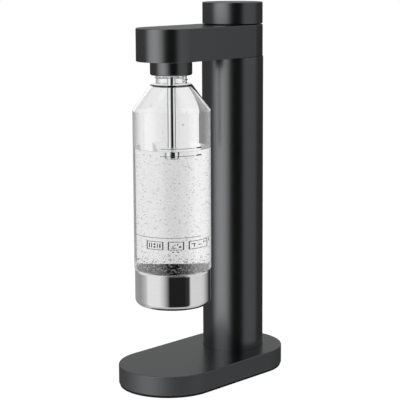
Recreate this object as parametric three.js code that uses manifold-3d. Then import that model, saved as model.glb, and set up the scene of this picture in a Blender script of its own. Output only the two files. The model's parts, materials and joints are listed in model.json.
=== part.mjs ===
// Soda carbonator: a gas cylinder inside a round column, an arm that carries the head over a bottle,
// and a twist knob in line with the column that presses the cylinder's valve pin through a face cam.
// Millimetres, +Z up. +Y is the rear, where the column stands, and -Y the front, where the bottle hangs.
// The origin is at the middle of the footprint, on the surface that the foot rests on.

import * as THREE from 'three';
import { mergeVertices } from 'three/addons/utils/BufferGeometryUtils.js';
import Module from 'manifold-3d';

const wasm = await Module();
wasm.setup();

// ---------------------------------------------------------------- driving dimensions

// Clearances
const gap = 0.3;              // between pieces that touch
const runningGap = 0.3;       // radial, between pieces that slide or turn in each other
const threadGap = 0.4;        // radial, bottle thread in its socket

// Overall
const baseRadius = 57;        // round ends of the base, half its width
const baseSpan = 107.4;       // between the centres of the two round ends
const baseTop = 23.9;
const columnHeight = 338.8;   // base top to the underside of the arm
const armHeight = 35.8;
const armReach = 106.1;       // column axis to the centre of the arm's round front
const bottleReach = 100.6;    // column axis to bottle axis
const knobHeight = 24;
const knobGap = 1;            // open line between arm and knob

// Base
const footHeight = 2.4;
const footInset = 1.2;        // foot inside the base's outer wall
const footWidth = 11.8;
const baseWall = 3;
const baseRoof = 4.4;
const baseEdge = 1.2;         // rounding of the outer edges
const plateThickness = 2.4;
const ballastThickness = 8.2;
const ballastMargin = 4;      // ballast to the base's side wall
const bossRadius = 3.5;

// Column and gas cylinder
const cylinderRadius = 30.15;
const cylinderWall = 2.95;
const cylinderPlay = 2.85;    // cylinder to the tube's inner wall
const columnWall = 2;
const flangeWidth = 8;
const flangeThickness = 5.5;
const guideHeight = 10;
const topRingHeight = 16;
const shoulderDrop = 36;      // cylinder's neck to the foot of its shoulder
const hatchMargin = 4.35;     // hatch hole beyond the cylinder's radius
const lugReach = 3;
const lugThickness = 2.2;
const lugAngle = 24;
const hatchTurn = 40;         // from locked to the notches
const padThickness = 2;

// Cylinder valve and its block
const valveStemRadius = 10.5;
const valveStemLength = 19.7;
const valveBodyRadius = 12.5;
const valveBodyHeight = 14;
const pinRadius = 1.7;
const pinStroke = 2.4;
const blockWall = 9.2;
const chamberRadius = 4.5;
const chamberHeight = 6.2;
const blockSkirt = 15.4;      // block below the underside of the arm
const blockFlange = 3;
const valveRise = 0.6;        // valve's top above the block flange's underside
const pinRise = 3.3;          // pin's top above the valve's top
const valveSealThickness = 1.5;
const pusherGuide = 3;        // length of the pusher's bore in the block
const barrelRadius = 16;
const portRise = 3.9;         // gas port above the block flange
const portRadius = 1.5;

// Arm
const armInset = 0.6;         // arm radius under the column's
const armWall = 2.5;
const armEdge = 1;
const armPlate = 2.4;
const armBossRadius = 4;
const armBossSpacing = 44;

// Knob and its cam
const knobInset = 0.15;       // knob radius under the arm's
const knobWall = 2.2;
const knobRoof = 2.6;
const knobEdge = 1;
const knobTurn = 50;          // degrees
const lobeAngle = 30;         // degrees, each of the pusher's two lobes
const hubRadius = 10;
const hubFlangeRadius = 20;
const hubFlange = 3;
const hubEnd = 1.6;           // hub below its clip
const springRoom = 12.5;      // knob's lower edge to the hub flange
const rampStep = 0.5;         // ramps' start below the hub
const camInner = 5;
const camOuter = 9.5;
const pusherRadius = 12.3;
const pusherThickness = 2.6;
const earWidth = 6;
const bushFlange = 2.8;
const clipThickness = 1.2;
const bushWall = 2.7;
const stopPinRadius = 1.5;
const stopCircle = 28;

// Nozzle and head
const ballRadius = 7;
const ballHeight = 5.3;       // ball's centre above the underside of the arm
const stubRadius = 16;
const stubRise = 4;           // socket's stub above the ball's centre
const headFlange = 3;
const headWall = 1.7;
const headHeight = 23.3;      // above the underside of the arm
const headPortHeight = 17.3;
const nozzleRadius = 4.5;
const nozzleBore = 3;
const nozzleLength = 101.8;   // from the top of the tube to the bottom of the tip
const tipRadius = 6;
const tipHeight = 8.6;
const tubeInTip = 4.5;

// Bottle and its socket
const threadRadius = 18.2;
const socketWall = 4.57;
const socketHeight = 15.2;
const socketRoof = 3;
const bottleSealThickness = 1.8;
const neckRadius = 17;
const neckBore = 14.3;
const neckHeight = 19.4;
const threadPitch = 5;
const threadCount = 3;
const shoulderRadius = 23.1;
const coneHeight = 27.1;
const bottleRadius = 42.93;
const bottleWall = 1.4;
const bottleHeight = 265.5;   // top of the neck to the bottom of the cup
const cupRadius = 42.32;
const cupHeight = 40.4;
const cupWall = 0.8;
const cupFillet = 7;

// Screws: shank radius, head radius and head height
const smallScrew = { shank: 1.25, head: 2.4, headHeight: 1.7 };
const plateScrew = { shank: 1.4, head: 3, headHeight: 1.1 };
const mountScrew = { shank: 1.8, head: 3.2, headHeight: 2.5 };
const knobScrew = { shank: 1.7, head: 3.2, headHeight: 2 };

// ---------------------------------------------------------------- derived places

const columnY = baseSpan / 2;
const bottleY = columnY - bottleReach;
const armFrontY = columnY - armReach;
const baseInner = baseRadius - baseWall;
const skirtBottom = footHeight + gap;
const roofZ = baseTop - baseRoof;
const plateTop = skirtBottom + plateThickness;

const columnInner = cylinderRadius + cylinderPlay;
const columnRadius = columnInner + columnWall;
const flangeRadius = columnRadius + flangeWidth;
const flangeTop = roofZ - gap;
const flangeBottom = flangeTop - flangeThickness;
const flangeScrewCircle = columnRadius + flangeWidth / 2 + gap;

const bossReach = baseInner - bossRadius - 2;         // from the base's middle line
const sideBossY = columnY - flangeRadius - bossRadius;
const bossPlaces = [
  [0, -baseSpan / 2 - bossReach],
  [0, columnY + bossReach],
  [bossReach, sideBossY],
  [-bossReach, sideBossY],
];

const hatchHole = cylinderRadius + hatchMargin;
const lugBottom = plateTop + gap;
const hatchTop = lugBottom + lugThickness;
const padTop = hatchTop + gap + padThickness;

const armBottom = baseTop + columnHeight;
const armTop = armBottom + armHeight;
const armRoof = armTop - armWall;
const armRadius = columnRadius - armInset;
const armInner = armRadius - armWall;
const armPlateTop = armBottom + armPlate;
const coverScrewY = (columnY - columnRadius + bottleY + threadRadius + threadGap + socketWall) / 2;

const topRingInner = valveStemRadius + blockWall + runningGap + 2;
const topRingOuter = columnInner - gap;
const mountCircle = (topRingInner + topRingOuter) / 2;

const blockRadius = valveStemRadius + gap + blockWall;
const blockFlangeBottom = armPlateTop + gap;
const blockFlangeTop = blockFlangeBottom + blockFlange;
const valveTop = blockFlangeBottom + valveRise;
const sealBottom = valveTop + gap;
const sealTop = sealBottom + valveSealThickness;
const chamberBottom = sealTop + gap;
const chamberTop = chamberBottom + chamberHeight;
const guideTop = chamberTop + pusherGuide;
const portZ = blockFlangeTop + portRise;
const pinTop = valveTop + pinRise;

const knobBottom = armTop + knobGap;
const knobTop = knobBottom + knobHeight;
const knobRadius = armRadius - knobInset;
const knobCeiling = knobTop - knobRoof;
const bushOuter = hubRadius + runningGap + bushWall;
const bushBottom = armRoof - gap - bushFlange;
const clipTop = bushBottom - gap;
const clipBottom = clipTop - clipThickness;
const hubBottom = clipBottom - gap - hubEnd;
const hubFlangeBottom = knobBottom + springRoom;
const hubFlangeTop = hubFlangeBottom + hubFlange;

const camSlope = pinStroke / knobTurn;                 // millimetres per degree
const rampTop = hubBottom - rampStep;                  // ramp height where it starts
const rampLow = rampTop - camSlope * (knobTurn + lobeAngle);
const pusherTop = rampLow - gap;
const pusherBottom = pusherTop - pusherThickness;
const collarInner = pusherRadius + runningGap;

const socketBore = threadRadius + threadGap;
const socketRadius = socketBore + socketWall;
const socketTop = armBottom - gap;
const socketBottom = socketTop - socketHeight;
const socketCeiling = socketTop - socketRoof;
const ballZ = armBottom + ballHeight;
const ballSeat = ballRadius + runningGap;
const stubTop = ballZ + stubRise;
const headFlangeBottom = armPlateTop + gap;
const headFlangeTop = headFlangeBottom + headFlange;
const headRadius = stubRadius + gap + headWall;
const headTop = armBottom + headHeight;
const headPortZ = armBottom + headPortHeight;
const headScrewCircle = socketBore + socketWall / 2;

const bottleSealTop = socketCeiling - gap;
const bottleSealBottom = bottleSealTop - bottleSealThickness;
const neckTop = bottleSealBottom - gap;
const neckFoot = neckTop - neckHeight;
const shoulderZ = neckFoot - 1;
const coneFoot = shoulderZ - coneHeight;
const cupBottom = neckTop - bottleHeight;
const cupTop = cupBottom + cupHeight;

const tubeTop = bottleSealBottom + 0.2;
const tipBottom = tubeTop - nozzleLength;
const tipTop = tipBottom + tipHeight;
const tubeBottom = tipTop - tubeInTip;

const cylinderBottom = padTop + gap;
const valveBodyTop = valveTop - valveStemLength;
const cylinderNeckTop = valveBodyTop - valveBodyHeight - gap;
const cylinderShoulder = cylinderNeckTop - shoulderDrop;

// Sides of round shapes
const fine = 28;
const medium = 20;
const coarse = 8;
const screwSides = 6;

// ---------------------------------------------------------------- materials

const finish = (color, roughness, metalness, extra = {}) =>
  new THREE.MeshStandardMaterial({ color, roughness, metalness, ...extra });

const blackPaint = finish(0x26272a, 0.38, 0.3);
const blackPlastic = finish(0x1c1d1f, 0.6, 0);
const mirrorSteel = finish(0xd2d4d6, 0.08, 1);
const zincSteel = finish(0xa4a7aa, 0.35, 1);
const castSteel = finish(0x6f7275, 0.55, 1);
const aluminium = finish(0xb9bcc0, 0.4, 1);
const brass = finish(0xb08d4a, 0.35, 1);
const rubber = finish(0x18181a, 0.85, 0);
const silicone = finish(0xd8dadb, 0.6, 0);
const whiteNylon = finish(0xe2e2de, 0.5, 0);
const clearBottle = finish(0xe6ecee, 0.05, 0, { transparent: true, opacity: 0.35 });

// ---------------------------------------------------------------- shapes

// A solid of revolution about Z. The outline runs up the outside and closes on the axis or on itself.
function turned(outline, sides = fine) {
  const points = outline.map(([r, z]) => new THREE.Vector2(r, z));
  return new THREE.LatheGeometry(points, sides).rotateX(Math.PI / 2);
}

// A ring of rectangular section about Z.
function ring(inner, outer, bottom, top, sides = fine) {
  return turned([[inner, bottom], [outer, bottom], [outer, top], [inner, top], [inner, bottom]], sides);
}

// A plain cylinder about a line parallel to Z.
function rod(x, y, radius, bottom, top, sides = coarse) {
  const outline = [[0, bottom], [radius, bottom], [radius, top], [0, top]];
  return turned(outline, sides).translate(x, y, 0);
}

// A block between two corners.
function block(low, high) {
  const size = high.map((value, i) => value - low[i]);
  return new THREE.BoxGeometry(...size).translate(...low.map((value, i) => value + size[i] / 2));
}

// A stadium outline whose round ends are centred at frontY and rearY.
function stadium(radius, frontY, rearY, Outline = THREE.Shape) {
  const outline = new Outline();
  outline.absarc(0, rearY, radius, 0, Math.PI);
  outline.absarc(0, frontY, radius, Math.PI, 2 * Math.PI);
  outline.closePath();
  return outline;
}

// A flat shape raised from bottom to top, with its edges bevelled by edge.
function raised(shape, bottom, top, edge = 0, curveSegments = fine / 4) {
  const options = { depth: top - bottom - 2 * edge, curveSegments, bevelEnabled: edge > 0 };
  Object.assign(options, { bevelThickness: edge, bevelSize: edge, bevelOffset: -edge, bevelSegments: 2 });
  return new THREE.ExtrudeGeometry(shape, options).translate(0, 0, bottom + edge);
}

// A sector of a ring whose top and bottom faces climb by slope for each degree.
function rampSector({ inner, outer, bottom, top, from, to, bottomSlope = 0, topSlope = 0 }) {
  const steps = Math.ceil((to - from) / 5);
  const sector = new THREE.BoxGeometry(1, 1, 1, 1, steps, 1);
  const place = sector.attributes.position;
  for (let i = 0; i < place.count; i += 1) {
    const turn = (place.getY(i) + 0.5) * (to - from);
    const radius = place.getX(i) < 0 ? inner : outer;
    const z = place.getZ(i) < 0 ? bottom + bottomSlope * turn : top + topSlope * turn;
    const angle = THREE.MathUtils.degToRad(from + turn);
    place.setXYZ(i, radius * Math.cos(angle), radius * Math.sin(angle), z);
  }
  return sector;
}

class Helix extends THREE.Curve {
  constructor(radius, bottom, top, turns) {
    super();
    Object.assign(this, { radius, bottom, top, turns });
  }

  getPoint(t, target = new THREE.Vector3()) {
    const angle = 2 * Math.PI * this.turns * t;
    const z = this.bottom + (this.top - this.bottom) * t;
    return target.set(this.radius * Math.cos(angle), this.radius * Math.sin(angle), z);
  }
}

// A coil spring whose ends lie between bottom and top.
function coil(radius, wire, bottom, top, turns) {
  const corners = Array.from({ length: 5 }, (_, i) => new THREE.Vector2(...polar(wire, 72 * i)));
  const extrudePath = new Helix(radius, bottom + wire, top - wire, turns);
  return new THREE.ExtrudeGeometry(new THREE.Shape(corners), { extrudePath, steps: turns * 8 });
}

// ---------------------------------------------------------------- joins and cuts

function solid(geometry) {
  const bare = geometry.clone();
  bare.deleteAttribute('normal');
  bare.deleteAttribute('uv');
  const merged = mergeVertices(bare, 1e-4);
  const vertProperties = new Float32Array(merged.attributes.position.array);
  return new wasm.Manifold(new wasm.Mesh({
    numProp: 3,
    vertProperties,
    triVerts: new Uint32Array(merged.index.array),
  }));
}

function geometryOf(manifold) {
  const { vertProperties, triVerts } = manifold.getMesh();
  const geometry = new THREE.BufferGeometry();
  geometry.setAttribute('position', new THREE.BufferAttribute(vertProperties, 3));
  geometry.setIndex(new THREE.BufferAttribute(triVerts, 1));
  geometry.computeVertexNormals();
  return geometry;
}

const joined = (first, ...others) =>
  geometryOf(others.reduce((whole, next) => whole.add(solid(next)), solid(first)));

const cut = (first, ...others) =>
  geometryOf(others.reduce((whole, next) => whole.subtract(solid(next)), solid(first)));

const polar = (radius, degrees) => {
  const angle = THREE.MathUtils.degToRad(degrees);
  return [radius * Math.cos(angle), radius * Math.sin(angle)];
};

const holes = (places, radius, bottom, top) =>
  places.map(([x, y]) => rod(x, y, radius, bottom, top, coarse));

// ---------------------------------------------------------------- scene graph

const carbonator = new THREE.Group();
const columnAxis = new THREE.Group();
const bottleAxis = new THREE.Group();
columnAxis.position.y = columnY;
bottleAxis.position.y = bottleY;
carbonator.add(columnAxis, bottleAxis);

function piece(parent, name, geometry, material) {
  const mesh = new THREE.Mesh(geometry, material);
  mesh.name = name;
  parent.add(mesh);
  return mesh;
}

// A screw whose head seats at z. It points up, or down when turned over.
function screw(parent, name, [x, y], z, length, kind, pointsDown = false) {
  const { shank, head, headHeight } = kind;
  const outline = [
    [0, -headHeight], [head, -headHeight], [head, 0], [shank, 0], [shank, length], [0, length],
  ];
  const mesh = piece(parent, name, turned(outline, screwSides), zincSteel);
  mesh.position.set(x, y, z);
  mesh.rotation.x = pointsDown ? Math.PI : 0;
}

// ---------------------------------------------------------------- base

function baseShell() {
  const outer = raised(stadium(baseRadius, -baseSpan / 2, columnY), skirtBottom, baseTop, baseEdge);
  const cavity = raised(stadium(baseInner, -baseSpan / 2, columnY), skirtBottom - 1, roofZ);
  const tubeHole = rod(0, columnY, columnRadius + gap, roofZ - 1, baseTop + 1, fine);
  const bosses = bossPlaces.map(([x, y]) => rod(x, y, bossRadius, plateTop + gap, roofZ + 1));
  const screwHoles = holes(bossPlaces, plateScrew.shank + gap, plateTop, roofZ - 4);
  const flangeHoles = holes(flangeScrewPlaces(columnY), plateScrew.shank + gap, roofZ - 1, roofZ + 2.7);
  const shell = cut(joined(cut(outer, cavity, tubeHole), ...bosses), ...screwHoles, ...flangeHoles);
  piece(carbonator, 'base_shell', shell, blackPaint);
}

function flangeScrewPlaces(y = 0) {
  return [45, 135, 225, 315].map((angle) => {
    const [dx, dy] = polar(flangeScrewCircle, angle);
    return [dx, y + dy];
  });
}

function ballast() {
  const radius = baseInner - ballastMargin;
  const rearEdge = sideBossY - bossRadius - 2;
  const outline = new THREE.Shape();
  outline.moveTo(radius, rearEdge);
  outline.lineTo(-radius, rearEdge);
  outline.absarc(0, -baseSpan / 2, radius, Math.PI, 2 * Math.PI);
  outline.closePath();
  const slab = raised(outline, roofZ - gap - ballastThickness, roofZ - gap);
  const bossHoles = holes(bossPlaces, bossRadius + gap, 0, roofZ + 1);
  piece(carbonator, 'base_ballast', cut(slab, ...bossHoles), castSteel);
}

function bottomPlate() {
  const slab = raised(stadium(baseInner - gap, -baseSpan / 2, columnY), skirtBottom, plateTop);
  const screwSeat = skirtBottom + plateScrew.headHeight + gap / 2;
  const notches = [0, 120, 240].map((start) => {
    const from = start - lugAngle / 2 - 2 - hatchTurn;
    const to = start + lugAngle / 2 + 2 - hatchTurn;
    const sector = { inner: hatchHole - 2, outer: hatchHole + lugReach, bottom: 0, top: plateTop + 1 };
    return rampSector({ ...sector, from, to }).translate(0, columnY, 0);
  });
  const hole = rod(0, columnY, hatchHole, 0, plateTop + 1, fine);
  const heads = holes(bossPlaces, plateScrew.head + gap, 0, screwSeat + gap);
  const shanks = holes(bossPlaces, plateScrew.shank + gap, 0, plateTop + 1);
  piece(carbonator, 'base_bottom_plate', cut(slab, hole, ...notches, ...heads, ...shanks), blackPlastic);
  bossPlaces.forEach((place, i) =>
    screw(carbonator, `bottom_screw_${i + 1}`, place, screwSeat, 11, plateScrew));
}

function footRing() {
  const outer = baseRadius - footInset;
  const outline = stadium(outer, -baseSpan / 2, columnY);
  outline.holes.push(stadium(outer - footWidth, -baseSpan / 2, columnY, THREE.Path));
  piece(carbonator, 'foot_ring', raised(outline, 0, footHeight), rubber);
}

function hatch() {
  const disc = turned([
    [0, skirtBottom], [hatchHole - runningGap, skirtBottom],
    [hatchHole - runningGap, hatchTop], [0, hatchTop],
  ]);
  const lugs = [0, 120, 240].map((start) => rampSector({
    inner: hatchHole - 3,
    outer: hatchHole + lugReach - runningGap,
    bottom: lugBottom,
    top: hatchTop,
    from: start - lugAngle / 2,
    to: start + lugAngle / 2,
  }));
  const recess = rod(0, 0, 22, 0, skirtBottom + 2.6, medium);
  const grip = block([-21.9, -4, skirtBottom], [21.9, 4, skirtBottom + 3]);
  piece(columnAxis, 'cylinder_hatch', joined(cut(joined(disc, ...lugs), recess), grip), blackPlastic);
  piece(columnAxis, 'hatch_pad', rod(0, 0, 24, hatchTop + gap, padTop, medium), rubber);
}

// ---------------------------------------------------------------- column and gas cylinder

function column() {
  const tube = ring(columnInner, columnRadius, flangeBottom, armBottom - gap);
  piece(columnAxis, 'column_tube', tube, blackPaint);

  const bossHoles = holes(bossPlaces.map(([x, y]) => [x, y - columnY]), bossRadius + gap, 0, roofZ);
  const flangeHoles = holes(flangeScrewPlaces(), plateScrew.shank + gap, 0, roofZ);
  const flange = ring(columnRadius + gap, flangeRadius, flangeBottom, flangeTop);
  piece(columnAxis, 'column_flange', cut(flange, ...bossHoles, ...flangeHoles), castSteel);
  flangeScrewPlaces().forEach((place, i) =>
    screw(columnAxis, `flange_screw_${i + 1}`, place, flangeBottom - gap, 8.2, plateScrew));

  const topRing = ring(topRingInner, topRingOuter, armBottom - gap - topRingHeight, armBottom - gap);
  const mountHoles = holes(mountScrewPlaces(), mountScrew.shank + gap, armBottom - 13, armBottom);
  piece(columnAxis, 'column_top_ring', cut(topRing, ...mountHoles), aluminium);

  const guideInner = cylinderRadius + threadGap;
  [['cylinder_guide_lower', 0.16], ['cylinder_guide_upper', 0.94]].forEach(([name, share]) => {
    const z = cylinderBottom + share * (cylinderShoulder - cylinderBottom) - guideHeight;
    piece(columnAxis, name, ring(guideInner, columnInner - gap, z, z + guideHeight), whiteNylon);
  });
}

function mountScrewPlaces() {
  return [90, 210, 330].map((angle) => polar(mountCircle, angle));
}

function gasCylinder() {
  const inner = cylinderRadius - cylinderWall;
  const neck = 13.5;
  const bore = valveStemRadius - 1.5;
  const shoulder = (radius, low, steps) => Array.from({ length: steps + 1 }, (_, i) => {
    const angle = (i / steps) * Math.PI * 0.5;
    const r = neck + (radius - neck) * Math.cos(angle);
    return [r, low + 28 * Math.sin(angle)];
  });
  const outline = [
    [0, cylinderBottom + 3], [20, cylinderBottom + 1.5], [24, cylinderBottom], [27, cylinderBottom],
    [cylinderRadius, cylinderBottom + 4],
    ...shoulder(cylinderRadius, cylinderShoulder, 3),
    [neck, cylinderNeckTop], [bore, cylinderNeckTop], [bore, cylinderShoulder + 25],
    [inner - 6, cylinderShoulder + 15], [inner, cylinderShoulder],
    [inner, cylinderBottom + 6], [0, cylinderBottom + 6],
  ];
  piece(columnAxis, 'gas_cylinder', turned(outline), aluminium);
}

function cylinderValve() {
  const lowerStem = valveStemRadius - 1.8;
  const bottom = cylinderNeckTop - 14;
  const bodyBottom = valveBodyTop - valveBodyHeight;
  const seat = valveTop - 15;
  const springChamber = 4.2;
  const pinBore = pinRadius + runningGap;
  piece(columnAxis, 'cylinder_valve', turned([
    [pinBore, bottom], [lowerStem, bottom], [lowerStem, bodyBottom], [valveBodyRadius, bodyBottom],
    [valveBodyRadius, valveBodyTop], [valveStemRadius, valveBodyTop], [valveStemRadius, valveTop],
    [pinBore, valveTop], [pinBore, seat], [springChamber, seat], [springChamber, bottom + 3],
    [pinBore, bottom + 3], [pinBore, bottom],
  ], medium), brass);

  const headTop = seat - gap;
  const headBottom = headTop - 2.7;
  piece(columnAxis, 'valve_pin', turned([
    [0, headBottom], [springChamber - runningGap, headBottom], [springChamber - runningGap, headTop],
    [pinRadius, headTop], [pinRadius, pinTop], [0, pinTop],
  ], coarse), brass);
  piece(columnAxis, 'valve_pin_spring', coil(3.2, 0.4, bottom + 3.3, headBottom - gap, 6), zincSteel);
  piece(columnAxis, 'valve_seal', ring(3.2, valveStemRadius, sealBottom, sealTop, medium), rubber);
}

// ---------------------------------------------------------------- arm and head

function arm() {
  const outer = raised(stadium(armRadius, armFrontY, columnY), armBottom, armTop, armEdge);
  const cavity = raised(stadium(armInner, armFrontY, columnY), armBottom - 1, armRoof);
  const bushHole = rod(0, columnY, bushOuter + gap, armRoof - 1, armTop + 1, medium);
  const [pinX, pinY] = polar(stopCircle, 90);
  const pinHole = rod(pinX, columnY + pinY, stopPinRadius + gap, armRoof - 1, armTop + 1);
  const places = [[armBossSpacing / 2, coverScrewY], [-armBossSpacing / 2, coverScrewY]];
  const bosses = places.map(([x, y]) => rod(x, y, armBossRadius, armPlateTop + gap, armRoof + 1));
  const screwHoles = holes(places, plateScrew.shank + gap, armPlateTop, armPlateTop + 14);
  const shell = cut(joined(cut(outer, cavity, bushHole, pinHole), ...bosses), ...screwHoles);
  piece(carbonator, 'arm_shell', shell, blackPaint);

  const slab = raised(stadium(armInner - gap, armFrontY, columnY), armBottom, armPlateTop);
  const below = armBottom - 1;
  const above = armPlateTop + 1;
  const mountPlaces = mountScrewPlaces().map(([x, y]) => [x, y + columnY]);
  const headPlaces = headScrewPlaces().map(([x, y]) => [x, y + bottleY]);
  const plate = cut(
    slab,
    rod(0, columnY, blockRadius + gap, below, above, medium),
    rod(0, bottleY, stubRadius + gap, below, above, medium),
    ...holes(mountPlaces, mountScrew.shank + gap, below, above),
    ...holes(headPlaces, smallScrew.shank + gap, below, above),
    ...holes(places, plateScrew.shank + gap, below, above),
    ...holes(places, plateScrew.head + gap, below, armBottom + plateScrew.headHeight),
  );
  piece(carbonator, 'arm_bottom_plate', plate, blackPlastic);
  const coverScrewSeat = armBottom + plateScrew.headHeight - gap;
  places.forEach((place, i) =>
    screw(carbonator, `arm_cover_screw_${i + 1}`, place, coverScrewSeat, 14, plateScrew));
  mountScrewPlaces().forEach((place, i) =>
    screw(columnAxis, `arm_mount_screw_${i + 1}`, place, blockFlangeTop + gap, 17, mountScrew, true));
}

function valveBlock() {
  const skirtEnd = armBottom - blockSkirt;
  const pinGuide = 3 + runningGap;
  const body = turned([
    [valveStemRadius + gap, skirtEnd], [blockRadius, skirtEnd],
    [blockRadius, blockFlangeBottom], [topRingOuter - 2, blockFlangeBottom],
    [topRingOuter - 2, blockFlangeTop], [barrelRadius, blockFlangeTop], [barrelRadius, pusherTop],
    [collarInner, pusherTop], [collarInner, guideTop], [pinGuide, guideTop],
    [pinGuide, chamberTop], [chamberRadius, chamberTop], [chamberRadius, chamberBottom],
    [valveStemRadius + gap, chamberBottom], [valveStemRadius + gap, skirtEnd],
  ]);
  const slotHalf = earWidth / 2 + runningGap;
  const slot = block([-barrelRadius - 1, -slotHalf, guideTop], [barrelRadius + 1, slotHalf, pusherTop + 1]);
  const port = rod(0, 0, portRadius, 0, barrelRadius + 1).rotateX(Math.PI / 2).translate(0, 0, portZ);
  const mountHoles = holes(
    mountScrewPlaces(), mountScrew.shank + gap, blockFlangeBottom - 1, blockFlangeTop + 1,
  );
  piece(columnAxis, 'valve_block', cut(body, slot, port, ...mountHoles), zincSteel);
}

// The pusher slides in the valve block's collar, kept from turning by two ears in its slots.
function pusher() {
  const body = turned([
    [0, pinTop + gap], [3, pinTop + gap], [3, pusherBottom], [pusherRadius, pusherBottom],
    [pusherRadius, pusherTop], [0, pusherTop],
  ], medium);
  const ears = block([-barrelRadius, -earWidth / 2, pusherBottom], [barrelRadius, earWidth / 2, pusherTop]);
  const lobes = [0, 180].map((from) => rampSector({
    inner: camInner,
    outer: camOuter,
    bottom: pusherTop - 1,
    top: rampTop - gap,
    from,
    to: from + lobeAngle,
    topSlope: -camSlope,
  }));
  piece(columnAxis, 'pusher', joined(body, ears, ...lobes), whiteNylon);
  piece(columnAxis, 'pusher_spring', coil(8, 0.5, guideTop + gap, pusherBottom - gap, 3), zincSteel);
}

// A hollow hose fitting along +Z: spigot from 0, collar, then the barb that the hose goes over.
function fitting(name, parent, z, tilt) {
  const mesh = piece(parent, name, turned([
    [0.7, 0], [1.2, 0], [1.2, 6.3], [3.6, 6.3], [3.6, 12], [1.7, 12], [1.7, 20], [0.7, 20], [0.7, 0],
  ], coarse), brass);
  mesh.rotation.x = tilt;
  mesh.position.set(0, Math.sign(tilt) * (6 - barrelRadius), z);
  return mesh;
}

function hose() {
  fitting('hose_fitting_rear', columnAxis, portZ, Math.PI / 2);
  const front = fitting('hose_fitting_front', bottleAxis, headPortZ, -Math.PI / 2);
  front.position.y = headRadius - 6;
  const rearEnd = columnY - barrelRadius - 6.3;
  const frontEnd = bottleY + headRadius + 6.3;
  const middle = (rearEnd + frontEnd) / 2;
  const points = [
    [0, rearEnd, portZ], [0, rearEnd - 4, portZ], [0, rearEnd - 8.5, portZ],
    [2, middle, (portZ + headPortZ) / 2],
    [0, frontEnd + 8.5, headPortZ], [0, frontEnd + 4, headPortZ], [0, frontEnd, headPortZ],
  ];
  const section = new THREE.Shape().absarc(0, 0, 3.2, 0, 2 * Math.PI);
  section.holes.push(new THREE.Path().absarc(0, 0, 2.1, 0, 2 * Math.PI));
  const extrudePath = new THREE.CatmullRomCurve3(points.map((point) => new THREE.Vector3(...point)));
  const tube = new THREE.ExtrudeGeometry(section, { extrudePath, steps: 12, curveSegments: 4 });
  piece(carbonator, 'gas_hose', tube, silicone);
}

function headScrewPlaces() {
  return [30, 150, 270].map((angle) => polar(headScrewCircle, angle));
}

function nozzleHead() {
  const body = turned([
    [stubRadius + gap, headFlangeBottom], [socketRadius, headFlangeBottom], [socketRadius, headFlangeTop],
    [headRadius, headFlangeTop], [headRadius, headTop], [0, headTop], [0, ballZ + ballSeat + 0.6],
    [ballSeat, ballZ + ballSeat + 0.6], [ballSeat, stubTop + gap], [stubRadius + gap, stubTop + gap],
    [stubRadius + gap, headFlangeBottom],
  ], medium);
  const gasWay = rod(0, 0, portRadius, ballZ + ballSeat, headPortZ + 1);
  const port = rod(0, 0, portRadius, 0, headRadius + 1);
  const hosePort = port.clone().rotateX(-Math.PI / 2).translate(0, 0, headPortZ);
  const reliefPort = port.clone().rotateY(-Math.PI / 2).translate(0, 0, headPortZ);
  const screwHoles = holes(
    headScrewPlaces(), smallScrew.shank + gap, headFlangeBottom - 1, headFlangeTop + 1,
  );
  piece(bottleAxis, 'nozzle_head', cut(body, gasWay, hosePort, reliefPort, ...screwHoles), zincSteel);
  headScrewPlaces().forEach((place, i) =>
    screw(bottleAxis, `nozzle_head_screw_${i + 1}`, place, headFlangeTop + gap, 14, smallScrew, true));
}

// Sprung relief valve on the left side of the nozzle head, opening towards -X.
function reliefValve() {
  const start = headRadius + gap;
  const alongX = (geometry) => geometry.rotateY(-Math.PI / 2);
  const body = alongX(turned([
    [2.8, start], [4.5, start], [4.5, start + 10.2], [1, start + 10.2], [1, start + 8.7],
    [2.8, start + 8.7], [2.8, start],
  ], coarse));
  const poppet = alongX(rod(0, 0, 2.5, start + gap, start + 2.8));
  const spring = alongX(coil(2, 0.3, start + 3.1, start + 8.4, 3));
  piece(bottleAxis, 'relief_valve_body', body, brass).position.z = headPortZ;
  piece(bottleAxis, 'relief_poppet', poppet, silicone).position.z = headPortZ;
  piece(bottleAxis, 'relief_spring', spring, zincSteel).position.z = headPortZ;
}

function bottleSocket() {
  const lip = ballZ - 4.4;
  const lipRadius = ballRadius - 1.2;
  const lowerEdge = 2;
  const body = turned([
    [socketBore, socketBottom], [socketRadius - lowerEdge, socketBottom],
    [socketRadius - 0.6, socketBottom + 0.6], [socketRadius, socketBottom + lowerEdge],
    [socketRadius, socketTop], [stubRadius, socketTop], [stubRadius, stubTop], [ballSeat, stubTop],
    [ballSeat, lip], [lipRadius, lip], [lipRadius, socketCeiling], [socketBore, socketCeiling],
    [socketBore, socketBottom],
  ]);
  const screwHoles = holes(headScrewPlaces(), smallScrew.shank + gap, socketTop - 9.5, socketTop + 1);
  piece(bottleAxis, 'bottle_socket', cut(body, ...screwHoles), blackPlastic);
  const seal = ring(neckBore - 1.3, threadRadius, bottleSealBottom, bottleSealTop, medium);
  piece(bottleAxis, 'bottle_seal', seal, rubber);
}

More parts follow.
